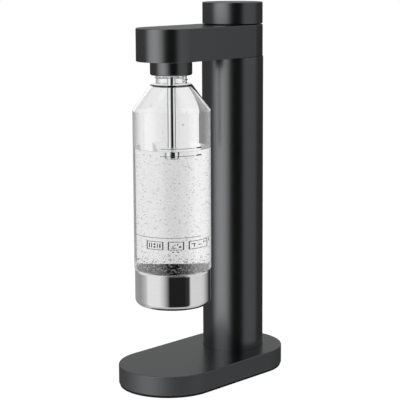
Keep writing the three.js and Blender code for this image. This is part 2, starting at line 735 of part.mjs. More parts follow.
function nozzle() {
  const stem = nozzleBore - gap;
  const stemBottom = tubeTop - 8.5;
  const from = Math.asin(stem / ballRadius);
  const to = Math.PI - Math.asin(1.2 / ballRadius);
  const arc = Array.from({ length: 8 }, (_, i) => {
    const angle = from + ((to - from) * i) / 7;
    return [ballRadius * Math.sin(angle), ballZ - ballRadius * Math.cos(angle)];
  });
  const ball = turned([[1.2, stemBottom], [stem, stemBottom], ...arc, [1.2, stemBottom]], medium);
  piece(bottleAxis, 'nozzle_ball', ball, whiteNylon);
  piece(bottleAxis, 'nozzle_tube', ring(nozzleBore, nozzleRadius, tubeBottom, tubeTop, medium), mirrorSteel);
  const tubeHole = nozzleRadius + gap;
  piece(bottleAxis, 'nozzle_tip', turned([
    [1, tipBottom], [tipRadius - 1, tipBottom], [tipRadius, tipBottom + 1], [tipRadius, tipTop],
    [tubeHole, tipTop], [tubeHole, tubeBottom - gap], [1, tubeBottom - gap], [1, tipBottom],
  ], medium), mirrorSteel);
}

// ---------------------------------------------------------------- knob

function knob() {
  const shell = turned([
    [knobRadius - knobWall, knobBottom], [knobRadius - knobEdge / 2, knobBottom],
    [knobRadius, knobBottom + knobEdge / 2], [knobRadius, knobTop - knobEdge],
    [knobRadius - 0.3 * knobEdge, knobTop - 0.3 * knobEdge], [knobRadius - knobEdge, knobTop],
    [0, knobTop], [0, knobCeiling], [knobRadius - knobWall, knobCeiling],
    [knobRadius - knobWall, knobBottom],
  ]);
  const boss = ring(2, 6, hubFlangeTop + gap, knobCeiling + 0.5, coarse);
  const stopMargin = 7.5;
  const ribs = [90 - stopMargin, 90 + stopMargin + knobTurn].map((angle) =>
    block([stopCircle - 2.5, -1.5, knobBottom + 0.7], [knobRadius - knobWall / 2, 1.5, knobBottom + 7.5])
      .rotateZ(THREE.MathUtils.degToRad(angle)));
  piece(columnAxis, 'knob_cap', joined(shell, boss, ...ribs), blackPaint);

  const screwSeat = knobBottom + 6.8;
  const hub = turned([
    [3.6, hubBottom], [hubRadius, hubBottom], [hubRadius, clipBottom - gap],
    [hubRadius - 1.5, clipBottom - gap], [hubRadius - 1.5, clipTop + gap], [hubRadius, clipTop + gap],
    [hubRadius, hubFlangeBottom], [hubFlangeRadius, hubFlangeBottom], [hubFlangeRadius, hubFlangeTop],
    [2, hubFlangeTop], [2, screwSeat], [3.6, screwSeat], [3.6, hubBottom],
  ], medium);
  const ramps = [0, 180].map((from) => rampSector({
    inner: camInner,
    outer: camOuter,
    bottom: rampTop,
    top: hubBottom + 0.5,
    from,
    to: from + knobTurn + lobeAngle,
    bottomSlope: -camSlope,
  }));
  piece(columnAxis, 'knob_hub', joined(hub, ...ramps), whiteNylon);
  screw(columnAxis, 'knob_screw', [0, 0], screwSeat - gap, 12, knobScrew);

  const openClip = block([-3, 0, clipBottom - 1], [3, hubRadius + 5, clipTop + 1]);
  const clip = cut(ring(hubRadius - 1.2, hubRadius + 3, clipBottom, clipTop, medium), openClip);
  piece(columnAxis, 'knob_clip', clip, zincSteel);
}

function knobBearing() {
  piece(columnAxis, 'knob_bush', turned([
    [hubRadius + runningGap, bushBottom], [bushOuter + 3, bushBottom], [bushOuter + 3, armRoof - gap],
    [bushOuter, armRoof - gap], [bushOuter, armTop], [hubRadius + runningGap, armTop],
    [hubRadius + runningGap, bushBottom],
  ], medium), whiteNylon);
  const [x, y] = polar(stopCircle, 90);
  piece(columnAxis, 'knob_stop_pin', turned([
    [0, armRoof - gap - 1.7], [stopPinRadius + 1, armRoof - gap - 1.7], [stopPinRadius + 1, armRoof - gap],
    [stopPinRadius, armRoof - gap], [stopPinRadius, knobBottom + 5], [0, knobBottom + 5],
  ], coarse), zincSteel).position.set(x, y, 0);
  piece(columnAxis, 'knob_spring', coil(13.5, 0.8, armTop + 1, hubFlangeBottom - 1, 4), zincSteel);
}

// ---------------------------------------------------------------- bottle

// Quarter-round points from the end of a floor to the start of a wall.
function fillet(radius, cornerR, cornerZ, steps = 3) {
  return Array.from({ length: steps + 1 }, (_, i) => {
    const angle = (i / steps) * Math.PI * 0.5;
    return [cornerR - radius + radius * Math.sin(angle), cornerZ + radius - radius * Math.cos(angle)];
  });
}

function bottle() {
  const petRadius = cupRadius - cupWall - threadGap;
  const petBottom = cupBottom + cupWall + gap;
  const firstRidge = neckFoot + 3.7;
  const ridges = Array.from({ length: threadCount }, (_, i) => {
    const z = firstRidge + threadPitch * i;
    return [[neckRadius, z - 1.3], [threadRadius, z - 0.5], [threadRadius, z + 0.5], [neckRadius, z + 1.3]];
  }).flat();
  const outside = [
    [0, petBottom + 6], [14, petBottom + 4.5], [27, petBottom],
    ...fillet(cupFillet, petRadius, petBottom, 3),
    [petRadius, cupTop], [bottleRadius, cupTop + gap], [bottleRadius, coneFoot - 1.5],
    [bottleRadius - 0.7, coneFoot + 0.8], [shoulderRadius, shoulderZ], [shoulderRadius - 0.8, neckFoot],
    [neckRadius, neckFoot + 0.3], ...ridges, [neckRadius, neckTop],
  ];
  const inner = bottleRadius - bottleWall;
  const inside = [
    [neckBore, neckTop], [neckBore, neckFoot - 2], [shoulderRadius - bottleWall, shoulderZ - 1.6],
    [inner - 1.2, coneFoot + 0.3], [inner, coneFoot - 2], [inner, cupTop + 3],
    [petRadius - bottleWall, cupTop - 1],
    ...fillet(cupFillet - bottleWall, petRadius - bottleWall, petBottom + bottleWall, 3).reverse(),
    [27, petBottom + bottleWall], [14, petBottom + 4.5 + bottleWall], [0, petBottom + 6 + bottleWall],
  ];
  piece(bottleAxis, 'bottle_body', turned([...outside, ...inside]), clearBottle);

  const cup = [
    [0, cupBottom], ...fillet(cupFillet, cupRadius, cupBottom), [cupRadius, cupTop],
    [cupRadius - cupWall, cupTop],
    ...fillet(cupFillet - cupWall, cupRadius - cupWall, cupBottom + cupWall).reverse(),
    [0, cupBottom + cupWall],
  ];
  piece(bottleAxis, 'bottle_cup', turned(cup), mirrorSteel);
}

baseShell();
ballast();
bottomPlate();
footRing();
hatch();
column();
gasCylinder();
cylinderValve();
arm();
valveBlock();
pusher();
hose();
nozzleHead();
reliefValve();
bottleSocket();
nozzle();
knob();
knobBearing();
bottle();

export default carbonator;
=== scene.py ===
import json
import math
import random

import bmesh
import bpy
from mathutils import Euler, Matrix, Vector


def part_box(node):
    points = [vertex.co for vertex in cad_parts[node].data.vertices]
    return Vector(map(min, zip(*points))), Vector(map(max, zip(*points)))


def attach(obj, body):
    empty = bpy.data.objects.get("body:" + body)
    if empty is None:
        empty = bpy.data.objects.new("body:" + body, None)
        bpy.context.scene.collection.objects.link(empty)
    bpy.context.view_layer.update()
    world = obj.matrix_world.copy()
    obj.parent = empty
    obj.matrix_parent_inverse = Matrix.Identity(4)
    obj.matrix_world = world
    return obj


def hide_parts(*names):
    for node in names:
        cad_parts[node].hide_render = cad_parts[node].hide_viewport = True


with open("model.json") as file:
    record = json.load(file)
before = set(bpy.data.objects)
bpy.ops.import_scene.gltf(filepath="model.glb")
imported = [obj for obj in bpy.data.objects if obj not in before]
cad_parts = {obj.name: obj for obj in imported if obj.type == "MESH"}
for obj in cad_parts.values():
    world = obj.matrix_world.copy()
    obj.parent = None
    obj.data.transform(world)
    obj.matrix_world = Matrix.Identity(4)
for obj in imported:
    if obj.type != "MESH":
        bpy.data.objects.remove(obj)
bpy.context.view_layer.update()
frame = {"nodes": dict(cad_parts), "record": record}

mm = 0.001
weldGap = 0.002 * mm  # vertices closer than this become one
cutPast = 2 * mm  # how far a cutter passes through a face

# Sides of the round pieces and cutters
facets = {"large": 160, "wide": 128, "middle": 96, "narrow": 64, "pipe": 48, "head": 32, "screw": 28,
          "hole": 24}

# Places that several pieces share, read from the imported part
tubeLow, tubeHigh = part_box("column_tube")
cupLow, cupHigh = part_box("bottle_cup")
columnY = (tubeLow.y + tubeHigh.y) / 2
bottleY = (cupLow.y + cupHigh.y) / 2


# Camera, floor and light

cameraView = {
    "place": (1.0545, -1.1314, 0.4747),
    "aim": (0.0072, -0.0096, 0.2046),
    "roll": -0.3,
    "lens": 124.8,
    "sensor": 36,
}


def deselectAll():
    if bpy.context.object and bpy.context.object.mode != "OBJECT":
        bpy.ops.object.mode_set(mode="OBJECT")
    bpy.ops.object.select_all(action="DESELECT")


def linear(colour):
    # sRGB hex to linear, with full alpha
    parts = [int(colour[i:i + 2], 16) / 255 for i in (1, 3, 5)]
    return tuple(c / 12.92 if c <= 0.04045 else ((c + 0.055) / 1.055) ** 2.4 for c in parts) + (1,)


def addNode(tree, kind, settings=None, inputs=None):
    # settings are the node's own properties; inputs are plain values, or sockets to link from
    node = tree.nodes.new("ShaderNode" + kind)
    for name, value in (settings or {}).items():
        setattr(node, name, value)
    for name, value in (inputs or {}).items():
        socket = node.inputs[name]
        if isinstance(value, bpy.types.NodeSocket):
            tree.links.new(value, socket)
        else:
            socket.default_value = value
    return node


def addRamp(tree, factor, stops):
    ramp = addNode(tree, "ValToRGB", inputs={"Fac": factor})
    elements = ramp.color_ramp.elements
    elements[0].position, elements[1].position = stops[0][0], stops[-1][0]
    for place, value in stops[1:-1]:
        elements.new(place)
    for element, (place, value) in zip(elements, stops):
        element.color = (value, value, value, 1)
    return ramp.outputs["Color"]


deselectAll()
bpy.ops.object.camera_add(location=cameraView["place"])
camera = bpy.context.object
camera.name = "Camera"
sight = Vector(cameraView["aim"]) - Vector(cameraView["place"])
turn = sight.to_track_quat("-Z", "Y") @ Euler((0, 0, math.radians(cameraView["roll"]))).to_quaternion()
camera.rotation_euler = turn.to_euler()
camera.data.lens = cameraView["lens"]
camera.data.sensor_width = cameraView["sensor"]
bpy.context.scene.camera = camera
bpy.context.scene.view_settings.view_transform = "Standard"
print("camera placed")

# The studio round the object. Each pair is an angle in degrees and a brightness, for tall soft boxes
# with black flags between them. Angle 0 is the side that faces the camera and 90 is to its right.
# The polished and clear pieces show the boxes sharply, so they have their own rows. The walls are below
# the height where the sky starts, in degrees of elevation, and the table is the pale ground far below.
studio = {
    "facing": 43,
    "walls": [(-180, 0.06), (-150, 0.10), (-110, 0.16), (-84, 0.16), (-66, 1.1), (-47, 1.33), (-32, 1.15),
              (-20, 0.72), (-8, 0.07), (2, 0.02), (32, 0.02), (45, 0.36), (95, 0.30), (104, 0.10),
              (180, 0.06)],
    "sky": [(-180, 0.34), (-115, 0.34), (-84, 0.2), (-66, 1.1), (-47, 1.3), (-30, 1.1), (-18, 0.7),
            (-6, 0.08), (2, 0.015), (30, 0.015), (42, 0.38), (95, 0.34), (180, 0.34)],
    "sharp": [(-180, 0.40), (-115, 0.42), (-100, 0.58), (-88, 0.75), (-80, 1.1), (-42, 1.1), (-28, 0.78),
              (-19, 0.45), (-9, 0.02), (36, 0.02), (51, 0.06), (57, 0.95), (95, 0.93), (105, 0.85),
              (121, 0.5), (140, 0.05), (165, 0.05), (180, 0.4)],
    "sharpSky": [(-180, 1.0), (-42, 1.1), (-28, 0.78), (-19, 0.45), (-9, 0.1), (36, 0.1),
                 (53, 0.95), (180, 1.0)],
    "skyStarts": (1, 5),
    "tableBright": 0.75,
    "tableStarts": (-48, -36),
    "background": 1.0,
}


def roundRamp(tree, factor, stops):
    return addRamp(tree, factor, [((angle + 180) / 360, value) for angle, value in stops])


def mixColour(tree, share, first, second):
    return addNode(tree, "Mix", {"data_type": "RGBA"}, {"Factor": share, 6: first, 7: second}).outputs[2]


def makeStudio():
    world = bpy.data.worlds.new("studio")
    bpy.context.scene.world = world
    world.use_nodes = True
    tree = world.node_tree
    tree.nodes.clear()
    direction = addNode(tree, "TexCoord").outputs["Generated"]
    turned = addNode(tree, "Mapping", inputs={
        "Vector": direction, "Rotation": (0, 0, -math.radians(studio["facing"]))}).outputs[0]
    axes = addNode(tree, "SeparateXYZ", inputs={0: turned})
    front = addNode(tree, "Math", {"operation": "MULTIPLY"}, {0: axes.outputs["Y"], 1: -1.0})
    angle = addNode(tree, "Math", {"operation": "ARCTAN2"}, {0: axes.outputs["X"], 1: front.outputs[0]})
    roundShare = addNode(tree, "MapRange", inputs={
        "Value": angle.outputs[0], "From Min": -math.pi, "From Max": math.pi}).outputs["Result"]
    height = addNode(tree, "Math", {"operation": "ARCSINE"}, {0: axes.outputs["Z"]})
    degrees = addNode(tree, "Math", {"operation": "DEGREES"}, {0: height.outputs[0]}).outputs[0]
    skyShare = addNode(tree, "MapRange", {"interpolation_type": "SMOOTHSTEP"}, {
        "Value": degrees, "From Min": studio["skyStarts"][0], "From Max": studio["skyStarts"][1]})
    tableShare = addNode(tree, "MapRange", {"interpolation_type": "SMOOTHSTEP"}, {
        "Value": degrees, "From Min": studio["tableStarts"][1], "From Max": studio["tableStarts"][0]})
    path = addNode(tree, "LightPath")
    singular = path.outputs["Is Singular Ray"]
    low = mixColour(tree, singular, roundRamp(tree, roundShare, studio["walls"]),
                    roundRamp(tree, roundShare, studio["sharp"]))
    high = mixColour(tree, singular, roundRamp(tree, roundShare, studio["sky"]),
                     roundRamp(tree, roundShare, studio["sharpSky"]))
    room = mixColour(tree, skyShare.outputs["Result"], low, high)
    lit = mixColour(tree, tableShare.outputs["Result"], room, (studio["tableBright"],) * 3 + (1,))
    # What is seen directly, or straight through the clear pieces, is the white backdrop
    unblocked = addNode(tree, "Math", {"operation": "MAXIMUM"}, {
        0: path.outputs["Is Camera Ray"], 1: path.outputs["Is Transmission Ray"]})
    straight = addNode(tree, "Math", {"operation": "LESS_THAN"}, {0: path.outputs["Glossy Depth"], 1: 0.5})
    seen = addNode(tree, "Math", {"operation": "MULTIPLY"}, {0: unblocked.outputs[0], 1: straight.outputs[0]})
    colour = mixColour(tree, seen.outputs[0], lit, (studio["background"],) * 3 + (1,))
    background = addNode(tree, "Background", inputs={"Color": colour, "Strength": 1.0})
    addNode(tree, "OutputWorld", inputs={"Surface": background.outputs[0]})


makeStudio()

floorSheet = {"size": 6.0, "drop": 0.05 * mm, "glow": 1.0, "colour": "#404040"}


def makeFloor():
    deselectAll()
    bpy.ops.mesh.primitive_plane_add(size=floorSheet["size"], location=(0, 0, -floorSheet["drop"]))
    floor = bpy.context.object
    floor.name = "floor"
    # White acrylic sheet lit from below: an even pale ground with almost no shadow
    acrylic = bpy.data.materials.new("whiteAcrylicLitFromBelow")
    acrylic.use_nodes = True
    tree = acrylic.node_tree
    tree.nodes.clear()
    glow = addNode(tree, "Emission", inputs={"Color": (1, 1, 1, 1), "Strength": floorSheet["glow"]})
    sheet = addNode(tree, "BsdfDiffuse", inputs={"Color": linear(floorSheet["colour"])})
    both = addNode(tree, "AddShader", inputs={0: glow.outputs[0], 1: sheet.outputs[0]})
    addNode(tree, "OutputMaterial", inputs={"Surface": both.outputs[0]})
    floor.data.materials.append(acrylic)
    floor.visible_glossy = False


makeFloor()
print("studio ready")


# Ways of making that several pieces share

def pick(kind, wanted):
    # In edit mode: selects the vertices, edges or faces whose middle and element pass the test
    bpy.ops.mesh.select_mode(type=kind)
    mesh = bmesh.from_edit_mesh(bpy.context.object.data)
    for group in (mesh.verts, mesh.edges, mesh.faces):
        for element in group:
            element.select_set(False)
    found = 0
    if kind == "VERT":
        group, middle = mesh.verts, lambda v: v.co
    elif kind == "EDGE":
        group, middle = mesh.edges, lambda e: (e.verts[0].co + e.verts[1].co) / 2
    else:
        group, middle = mesh.faces, lambda f: f.calc_center_median()
    for element in group:
        if wanted(middle(element), element):
            element.select_set(True)
            found += 1
    mesh.select_flush_mode()
    bmesh.update_edit_mesh(bpy.context.object.data)
    return found


def near(a, b, slack=0.02 * mm):
    return abs(a - b) < slack


def editMode():
    bpy.ops.object.mode_set(mode="EDIT")
    bpy.ops.mesh.select_mode(type="VERT")


def objectMode():
    bpy.ops.object.mode_set(mode="OBJECT")


def extrude(move):
    bpy.ops.mesh.extrude_region_move(TRANSFORM_OT_translate={"value": tuple(move)})


def takeUp(piece):
    # Makes the piece the only one selected, and active
    deselectAll()
    bpy.context.view_layer.objects.active = piece
    piece.select_set(True)


def settle():
    # Puts the selected piece's place, turn and scale into its mesh
    bpy.ops.object.transform_apply(location=True, rotation=True, scale=True)


def moveMesh(piece, place):
    takeUp(piece)
    piece.location = place
    settle()


def weldAndTurnOut():
    # In edit mode: doubles become one and all faces point outwards
    bpy.ops.mesh.select_all(action="SELECT")
    bpy.ops.mesh.remove_doubles(threshold=weldGap)
    bpy.ops.mesh.normals_make_consistent(inside=False)


def joinAll(pieces, name):
    deselectAll()
    for piece in pieces:
        piece.select_set(True)
    bpy.context.view_layer.objects.active = pieces[0]
    bpy.ops.object.join()
    joined = bpy.context.object
    settle()
    joined.name = name
    return joined


def pointAt(name, place):
    # A single vertex in edit mode, ready to extrude into a section
    deselectAll()
    bpy.ops.mesh.primitive_plane_add(size=mm, location=place)
    piece = bpy.context.object
    piece.name = name
    editMode()
    bpy.ops.mesh.merge(type="CENTER")
    return piece


def applyModifier(piece, kind, settings):
    takeUp(piece)
    modifier = piece.modifiers.new(kind.lower(), kind)
    for name, value in settings.items():
        setattr(modifier, name, value)
    bpy.ops.object.modifier_apply(modifier=modifier.name)


def cutWith(piece, cutter, operation="DIFFERENCE"):
    # Takes the cutter's shape out of the piece, or adds it with UNION, and takes the cutter away
    applyModifier(piece, "BOOLEAN", {"operation": operation, "object": cutter, "solver": "EXACT"})
    bpy.data.objects.remove(cutter)


def smooth(piece, angle=35):
    # Smooth shading that keeps sharp corners and lets the large faces rule the small roundings
    takeUp(piece)
    bpy.ops.object.shade_smooth_by_angle(angle=math.radians(angle))
    applyModifier(piece, "WEIGHTED_NORMAL", {"keep_sharp": True, "weight": 50})


def finishPiece(piece, body, replaced, material, angle=35, seenInGloss=True):
    smooth(piece, angle)
    piece.visible_glossy = seenInGloss
    piece.data.materials.clear()
    piece.data.materials.append(material)
    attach(piece, body)
    if replaced:
        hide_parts(*replaced)
    return piece


def rounded(corners, steps):
    # Half section points from (radius, height, rounding) corners; the rounding is an arc of that radius
    points = []
    last = len(corners) - 1
    for i, (r, z, rounding) in enumerate(corners):
        here = Vector((r, z))
        if rounding == 0 or i in (0, last):
            points.append(here)
            continue
        before = (Vector(corners[i - 1][:2]) - here).normalized()
        after = (Vector(corners[i + 1][:2]) - here).normalized()
        half = before.angle(after) / 2
        reach = rounding / math.tan(half)
        centre = here + (before + after).normalized() * (rounding / math.sin(half))
        start = here + before * reach - centre
        sweep = math.pi - 2 * half
        side = 1 if before.x * after.y - before.y * after.x < 0 else -1
        for k in range(steps + 1):
            a = side * sweep * k / steps
            points.append(centre + Vector((
                start.x * math.cos(a) - start.y * math.sin(a),
                start.x * math.sin(a) + start.y * math.cos(a))))
    return [(p.x, p.y) for p in points]


def spinSection(name, points, y, steps):
    # As on a lathe: the half section is drawn corner by corner, then spun round the upright axis at y
    piece = pointAt(name, (points[0][0], y, points[0][1]))
    for (r0, z0), (r1, z1) in zip(points, points[1:]):
        extrude((r1 - r0, 0, z1 - z0))
    bpy.ops.mesh.select_all(action="SELECT")
    bpy.ops.mesh.spin(steps=steps, angle=2 * math.pi, center=(0, y, 0), axis=(0, 0, 1))
    weldAndTurnOut()
    objectMode()
    settle()
    return piece


def stadiumBlock(name, radius, frontY, rearY, bottom, top):
    # A cylinder pulled apart at its middle into a block with two round ends
    deselectAll()
    sides, middle = facets["large"], (frontY + rearY) / 2
    bpy.ops.mesh.primitive_cylinder_add(
        vertices=sides, radius=radius, depth=top - bottom,
        location=(0, middle, (top + bottom) / 2), rotation=(0, 0, math.pi / sides))
    piece = bpy.context.object
    piece.name = name
    settle()
    editMode()
    pick("VERT", lambda co, v: co.y < middle)
    bpy.ops.transform.translate(value=(0, frontY - middle, 0))
    pick("VERT", lambda co, v: co.y > middle)
    bpy.ops.transform.translate(value=(0, rearY - middle, 0))
    objectMode()
    return piece


def roundCutter(x, y, radius, bottom, top, sides):
    deselectAll()
    bpy.ops.mesh.primitive_cylinder_add(
        vertices=sides, radius=radius, depth=top - bottom, location=(x, y, (top + bottom) / 2))
    settle()
    return bpy.context.object


def roundEdges(wanted, width, segments):
    # In edit mode: bevels the edges that pass the test
    if pick("EDGE", wanted):
        bpy.ops.mesh.bevel(offset=width, segments=segments, profile=0.5, affect="EDGES")


# Materials, named for the real material and finish

def newMaterial(name, inputs):
    material = bpy.data.materials.new(name)
    material.use_nodes = True
    tree = material.node_tree
    tree.nodes.clear()
    shader = addNode(tree, "BsdfPrincipled", inputs=inputs)
    addNode(tree, "OutputMaterial", inputs={"Surface": shader.outputs[0]})
    return material, tree, shader


def grain(tree, shader, size, strength, depth, stretch=(1, 1, 1), detail=2.0):
    # A fine relief whose grains are about size metres across and depth metres high
    place = addNode(tree, "TexCoord").outputs["Object"]
    scaled = addNode(tree, "Mapping", inputs={"Vector": place, "Scale": stretch})
    noise = addNode(tree, "TexNoise", inputs={
        "Vector": scaled.outputs[0], "Scale": 1 / size, "Detail": detail, "Roughness": 0.6})
    bump = addNode(tree, "Bump", inputs={
        "Height": noise.outputs["Fac"], "Strength": strength, "Distance": depth})
    tree.links.new(bump.outputs[0], shader.inputs["Normal"])
    return noise.outputs["Fac"]


def unevenRoughness(tree, shader, size, low, high):
    # Slow changes in gloss, as handling and the finish's own process leave them
    place = addNode(tree, "TexCoord").outputs["Object"]
    noise = addNode(tree, "TexNoise", inputs={"Vector": place, "Scale": 1 / size, "Detail": 3.0})
    spread = addNode(tree, "MapRange", inputs={
        "Value": noise.outputs["Fac"], "From Min": 0.3, "From Max": 0.7, "To Min": low, "To Max": high})
    tree.links.new(spread.outputs["Result"], shader.inputs["Roughness"])


def tintBetween(tree, shader, factor, dark, light):
    ramp = addNode(tree, "ValToRGB", inputs={"Fac": factor})
    ramp.color_ramp.elements[0].position = 0.3
    ramp.color_ramp.elements[0].color = linear(dark)
    ramp.color_ramp.elements[1].position = 0.7
    ramp.color_ramp.elements[1].color = linear(light)
    tree.links.new(ramp.outputs["Color"], shader.inputs["Base Color"])


def makeSurface(name, inputs, size, strength, depth, stretch=(1, 1, 1), detail=2.0, tints=None, gloss=None):
    # Grain over the whole piece, two tints that follow it, and gloss as (size, lowest, highest roughness)
    material, tree, shader = newMaterial(name, inputs)
    tone = grain(tree, shader, size, strength, depth, stretch, detail)
    if tints:
        tintBetween(tree, shader, tone, *tints)
    if gloss:
        unevenRoughness(tree, shader, *gloss)
    return material


def clearInputs(colour, ior, transmission=1.0, roughness=0.0):
    return {"Base Color": linear(colour), "IOR": ior, "Transmission Weight": transmission,
            "Roughness": roughness}


metal = {"Metallic": 1.0}
polished = {"Metallic": 1.0, "Roughness": 0.0}
roundIt = (0.1, 0.1, 1.0)  # stretches a grain into rings round an upright axis, as a lathe leaves them
anodisedTints = ("#747577", "#7a7b7c")

# Bead-blasted, black anodised aluminium: a soft satin sheen that blurs the lights into bands.
# The blasted grain is about 0.15 mm and is drawn at 0.5 mm, so that it shows.
anodised = makeSurface("blackAnodisedAluminium", metal, size=0.5 * mm, strength=0.05, depth=0.01 * mm,
                       tints=anodisedTints, gloss=(40 * mm, 0.25, 0.27))

# Spark-eroded black ABS: matt, with the fine even texture of the mould, drawn at 0.6 mm
blackAbs = makeSurface("blackMouldedAbs", {"IOR": 1.54, "Specular IOR Level": 0.4},
                       size=0.6 * mm, strength=0.25, depth=0.05 * mm,
                       tints=("#161617", "#1f1f20"), gloss=(12 * mm, 0.5, 0.6))

# Satin-coated moulded nylon for the collar: a sheen like the metal's, not that of bare plastic
satinPlastic = makeSurface("satinCoatedNylon", metal, size=0.5 * mm, strength=0.12, depth=0.02 * mm,
                           tints=("#727375", "#78797a"), gloss=(20 * mm, 0.24, 0.27))

# Deep-drawn stainless steel, mirror polished on a lathe: clear reflections, faint rings round it
mirrorSteel = makeSurface("mirrorPolishedSteel", polished, size=1.5 * mm, strength=0.002,
                          depth=0.001 * mm, stretch=(0.05, 0.05, 1.0), tints=("#d2d2d2", "#d6d6d6"))

# Chrome-plated tube: brighter and cooler than steel, with a faint drawn grain along it
chrome = makeSurface("brightChromePlate", polished, size=1.0 * mm, strength=0.01, depth=0.003 * mm,
                     stretch=(1.0, 1.0, 0.05), tints=("#eef0f0", "#f6f7f7"))

# Blow-moulded PET: clear and glossy, with the slow waves of a stretched wall
clearPet = makeSurface("clearBlownPet", {
    **clearInputs("#f6f6f6", 1.575), "Coat Weight": 0.15, "Coat IOR": 1.6, "Coat Roughness": 0.0},
    size=14 * mm, strength=0.05, depth=0.1 * mm, stretch=(1, 1, 0.35), detail=1.0)


def makeAnodisedBase():
    # The same finish, coarser on the blasted side walls than on the flat top, so that their sheen is even
    material, tree, shader = newMaterial("blackAnodisedBase", metal)
    tone = grain(tree, shader, size=0.5 * mm, strength=0.05, depth=0.01 * mm)
    tintBetween(tree, shader, tone, *anodisedTints)
    upward = addNode(tree, "SeparateXYZ", inputs={0: addNode(tree, "NewGeometry").outputs["Normal"]})
    blasted = addNode(tree, "MapRange", inputs={
        "Value": upward.outputs["Z"], "From Min": 0.2, "From Max": 0.95, "To Min": 0.6, "To Max": 0.27})
    tree.links.new(blasted.outputs["Result"], shader.inputs["Roughness"])
    return material


anodisedBase = makeAnodisedBase()

# The cup's unpolished inside: drawn steel, painted dark to stand in for the shade inside the cup
cupPaintedShade = makeSurface("paintedShadeCupInside", metal, size=0.8 * mm, strength=0.05, depth=0.01 * mm,
                         tints=("#232425", "#2e2f30"), gloss=(20 * mm, 0.4, 0.5))

# Carbonated water: clear, with a barely moving skin
waterClear = makeSurface("sparklingWater", clearInputs("#fdfdfd", 1.333),
                         size=9 * mm, strength=0.02, depth=0.05 * mm, detail=1.0)

# Gas in water: light leaves the water here, so each bubble has a dark rim and a bright middle; its grey tint
# is painted shade that makes each bubble darker still
shadedGasBubble = makeSurface("carbonDioxideBubble", clearInputs("#dedfe0", 1.333),
                        size=2 * mm, strength=0.02, depth=0.01 * mm)

# Gas in the shaded water over the bottle's bottom: a lit copy of the bubble finish, white and partly matt, a
# painted highlight so that each bubble shines against the dark
bubblePaintedHighlight = makeSurface("carbonDioxideBubblePaintedHighlight", clearInputs("#ffffff", 1.333, 0.6, 0.1),
                           size=2 * mm, strength=0.02, depth=0.01 * mm)

# Grey pad-printing ink on the bottle: thin, matt and a little uneven in cover
printInk = makeSurface("greyPadPrintInk", {"IOR": 1.5, "Roughness": 0.6},
                       size=0.8 * mm, strength=0.1, depth=0.01 * mm, tints=("#2c2d2e", "#4a4b4c"))

# Bright zinc-plated steel, with the cloudy crystals of the plating bath
zinc = makeSurface("zincPlatedSteel", metal, size=0.7 * mm, strength=0.08, depth=0.02 * mm,
                   tints=("#b4b7ba", "#c9cbcd"), gloss=(6 * mm, 0.25, 0.4))

# Saw-cut steel plate, oiled: dull and slightly mottled
castSteel = makeSurface("oiledCutSteel", metal, size=1.2 * mm, strength=0.3, depth=0.05 * mm,
                        tints=("#6a6c6f", "#83868a"), gloss=(10 * mm, 0.45, 0.65))

# Extruded and turned aluminium: pale, with fine turning marks round it
bareAluminium = makeSurface("turnedAluminium", metal, size=0.8 * mm, strength=0.15, depth=0.03 * mm,
                            stretch=roundIt, tints=("#c3c6c9", "#d5d7d9"), gloss=(12 * mm, 0.3, 0.42))

# Turned brass: warm, fairly bright, with fine tool marks
brass = makeSurface("turnedBrass", metal, size=0.6 * mm, strength=0.12, depth=0.03 * mm,
                    stretch=roundIt, tints=("#c9a55c", "#dcbb74"), gloss=(8 * mm, 0.25, 0.38))

# Moulded nitrile rubber: matt black with a faint bloom
rubber = makeSurface("mouldedNitrileRubber", {"IOR": 1.52, "Specular IOR Level": 0.3},
                     size=0.7 * mm, strength=0.3, depth=0.06 * mm,
                     tints=("#101011", "#191919"), gloss=(9 * mm, 0.75, 0.9))

# Translucent silicone: milky, soft sheen
silicone = makeSurface("milkySilicone", {
    "IOR": 1.41, "Transmission Weight": 0.35, "Subsurface Weight": 0.2, "Subsurface Scale": 2 * mm},
    size=1.0 * mm, strength=0.1, depth=0.02 * mm, tints=("#dfe1e1", "#ebecec"), gloss=(8 * mm, 0.4, 0.55))

# Natural nylon: warm white, satin, faintly waxy
nylon = makeSurface("naturalNylon", {"IOR": 1.53, "Subsurface Weight": 0.15, "Subsurface Scale": 1 * mm},
                    size=0.9 * mm, strength=0.12, depth=0.02 * mm,
                    tints=("#e4e2da", "#efeee8"), gloss=(10 * mm, 0.42, 0.55))

bySlot = {
    "black_anodised": anodised, "black_plastic": blackAbs, "mirror_steel": mirrorSteel,
    "clear_pet": clearPet, "zinc_steel": zinc, "cast_steel": castSteel,
    "bare_aluminium": bareAluminium, "brass": brass, "black_rubber": rubber,
    "clear_silicone": silicone, "white_nylon": nylon,
}
for slotRow in frame["record"]["subparts"]:
    node = frame["nodes"][slotRow["node"]]
    node.data.materials.clear()
    node.data.materials.append(bySlot[slotRow["material_slot"]])
print("materials ready")


# Base

base = {"edge": 1.2 * mm, "lowerEdge": 0.6 * mm, "wall": 3 * mm, "holeGap": 0.3 * mm, "roof": 4.4 * mm}
shellLow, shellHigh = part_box("base_shell")
baseRadius = shellHigh.x
baseFrontY = shellLow.y + baseRadius
baseRearY = shellHigh.y - baseRadius
roofZ = shellHigh.z - base["roof"]
columnRadius = tubeHigh.x


def makeBaseShell():
    piece = stadiumBlock("base_housing", baseRadius, baseFrontY, baseRearY, shellLow.z, shellHigh.z)
    editMode()
    pick("FACE", lambda co, f: f.normal.z < -0.9)
    bpy.ops.mesh.inset(thickness=base["wall"])
    extrude((0, 0, roofZ - shellLow.z))
    roundEdges(lambda co, e: near(co.z, shellHigh.z), base["edge"], 5)
    roundEdges(lambda co, e: near(co.z, shellLow.z) and outerRim(co)
               and any(abs(f.normal.z) < 0.1 for f in e.link_faces), base["lowerEdge"], 3)
    objectMode()
    cutWith(piece, roundCutter(0, columnY, columnRadius + base["holeGap"], roofZ - cutPast,
                               shellHigh.z + cutPast, facets["wide"]))
    return finishPiece(piece, "frame", ["base_shell"], anodisedBase)


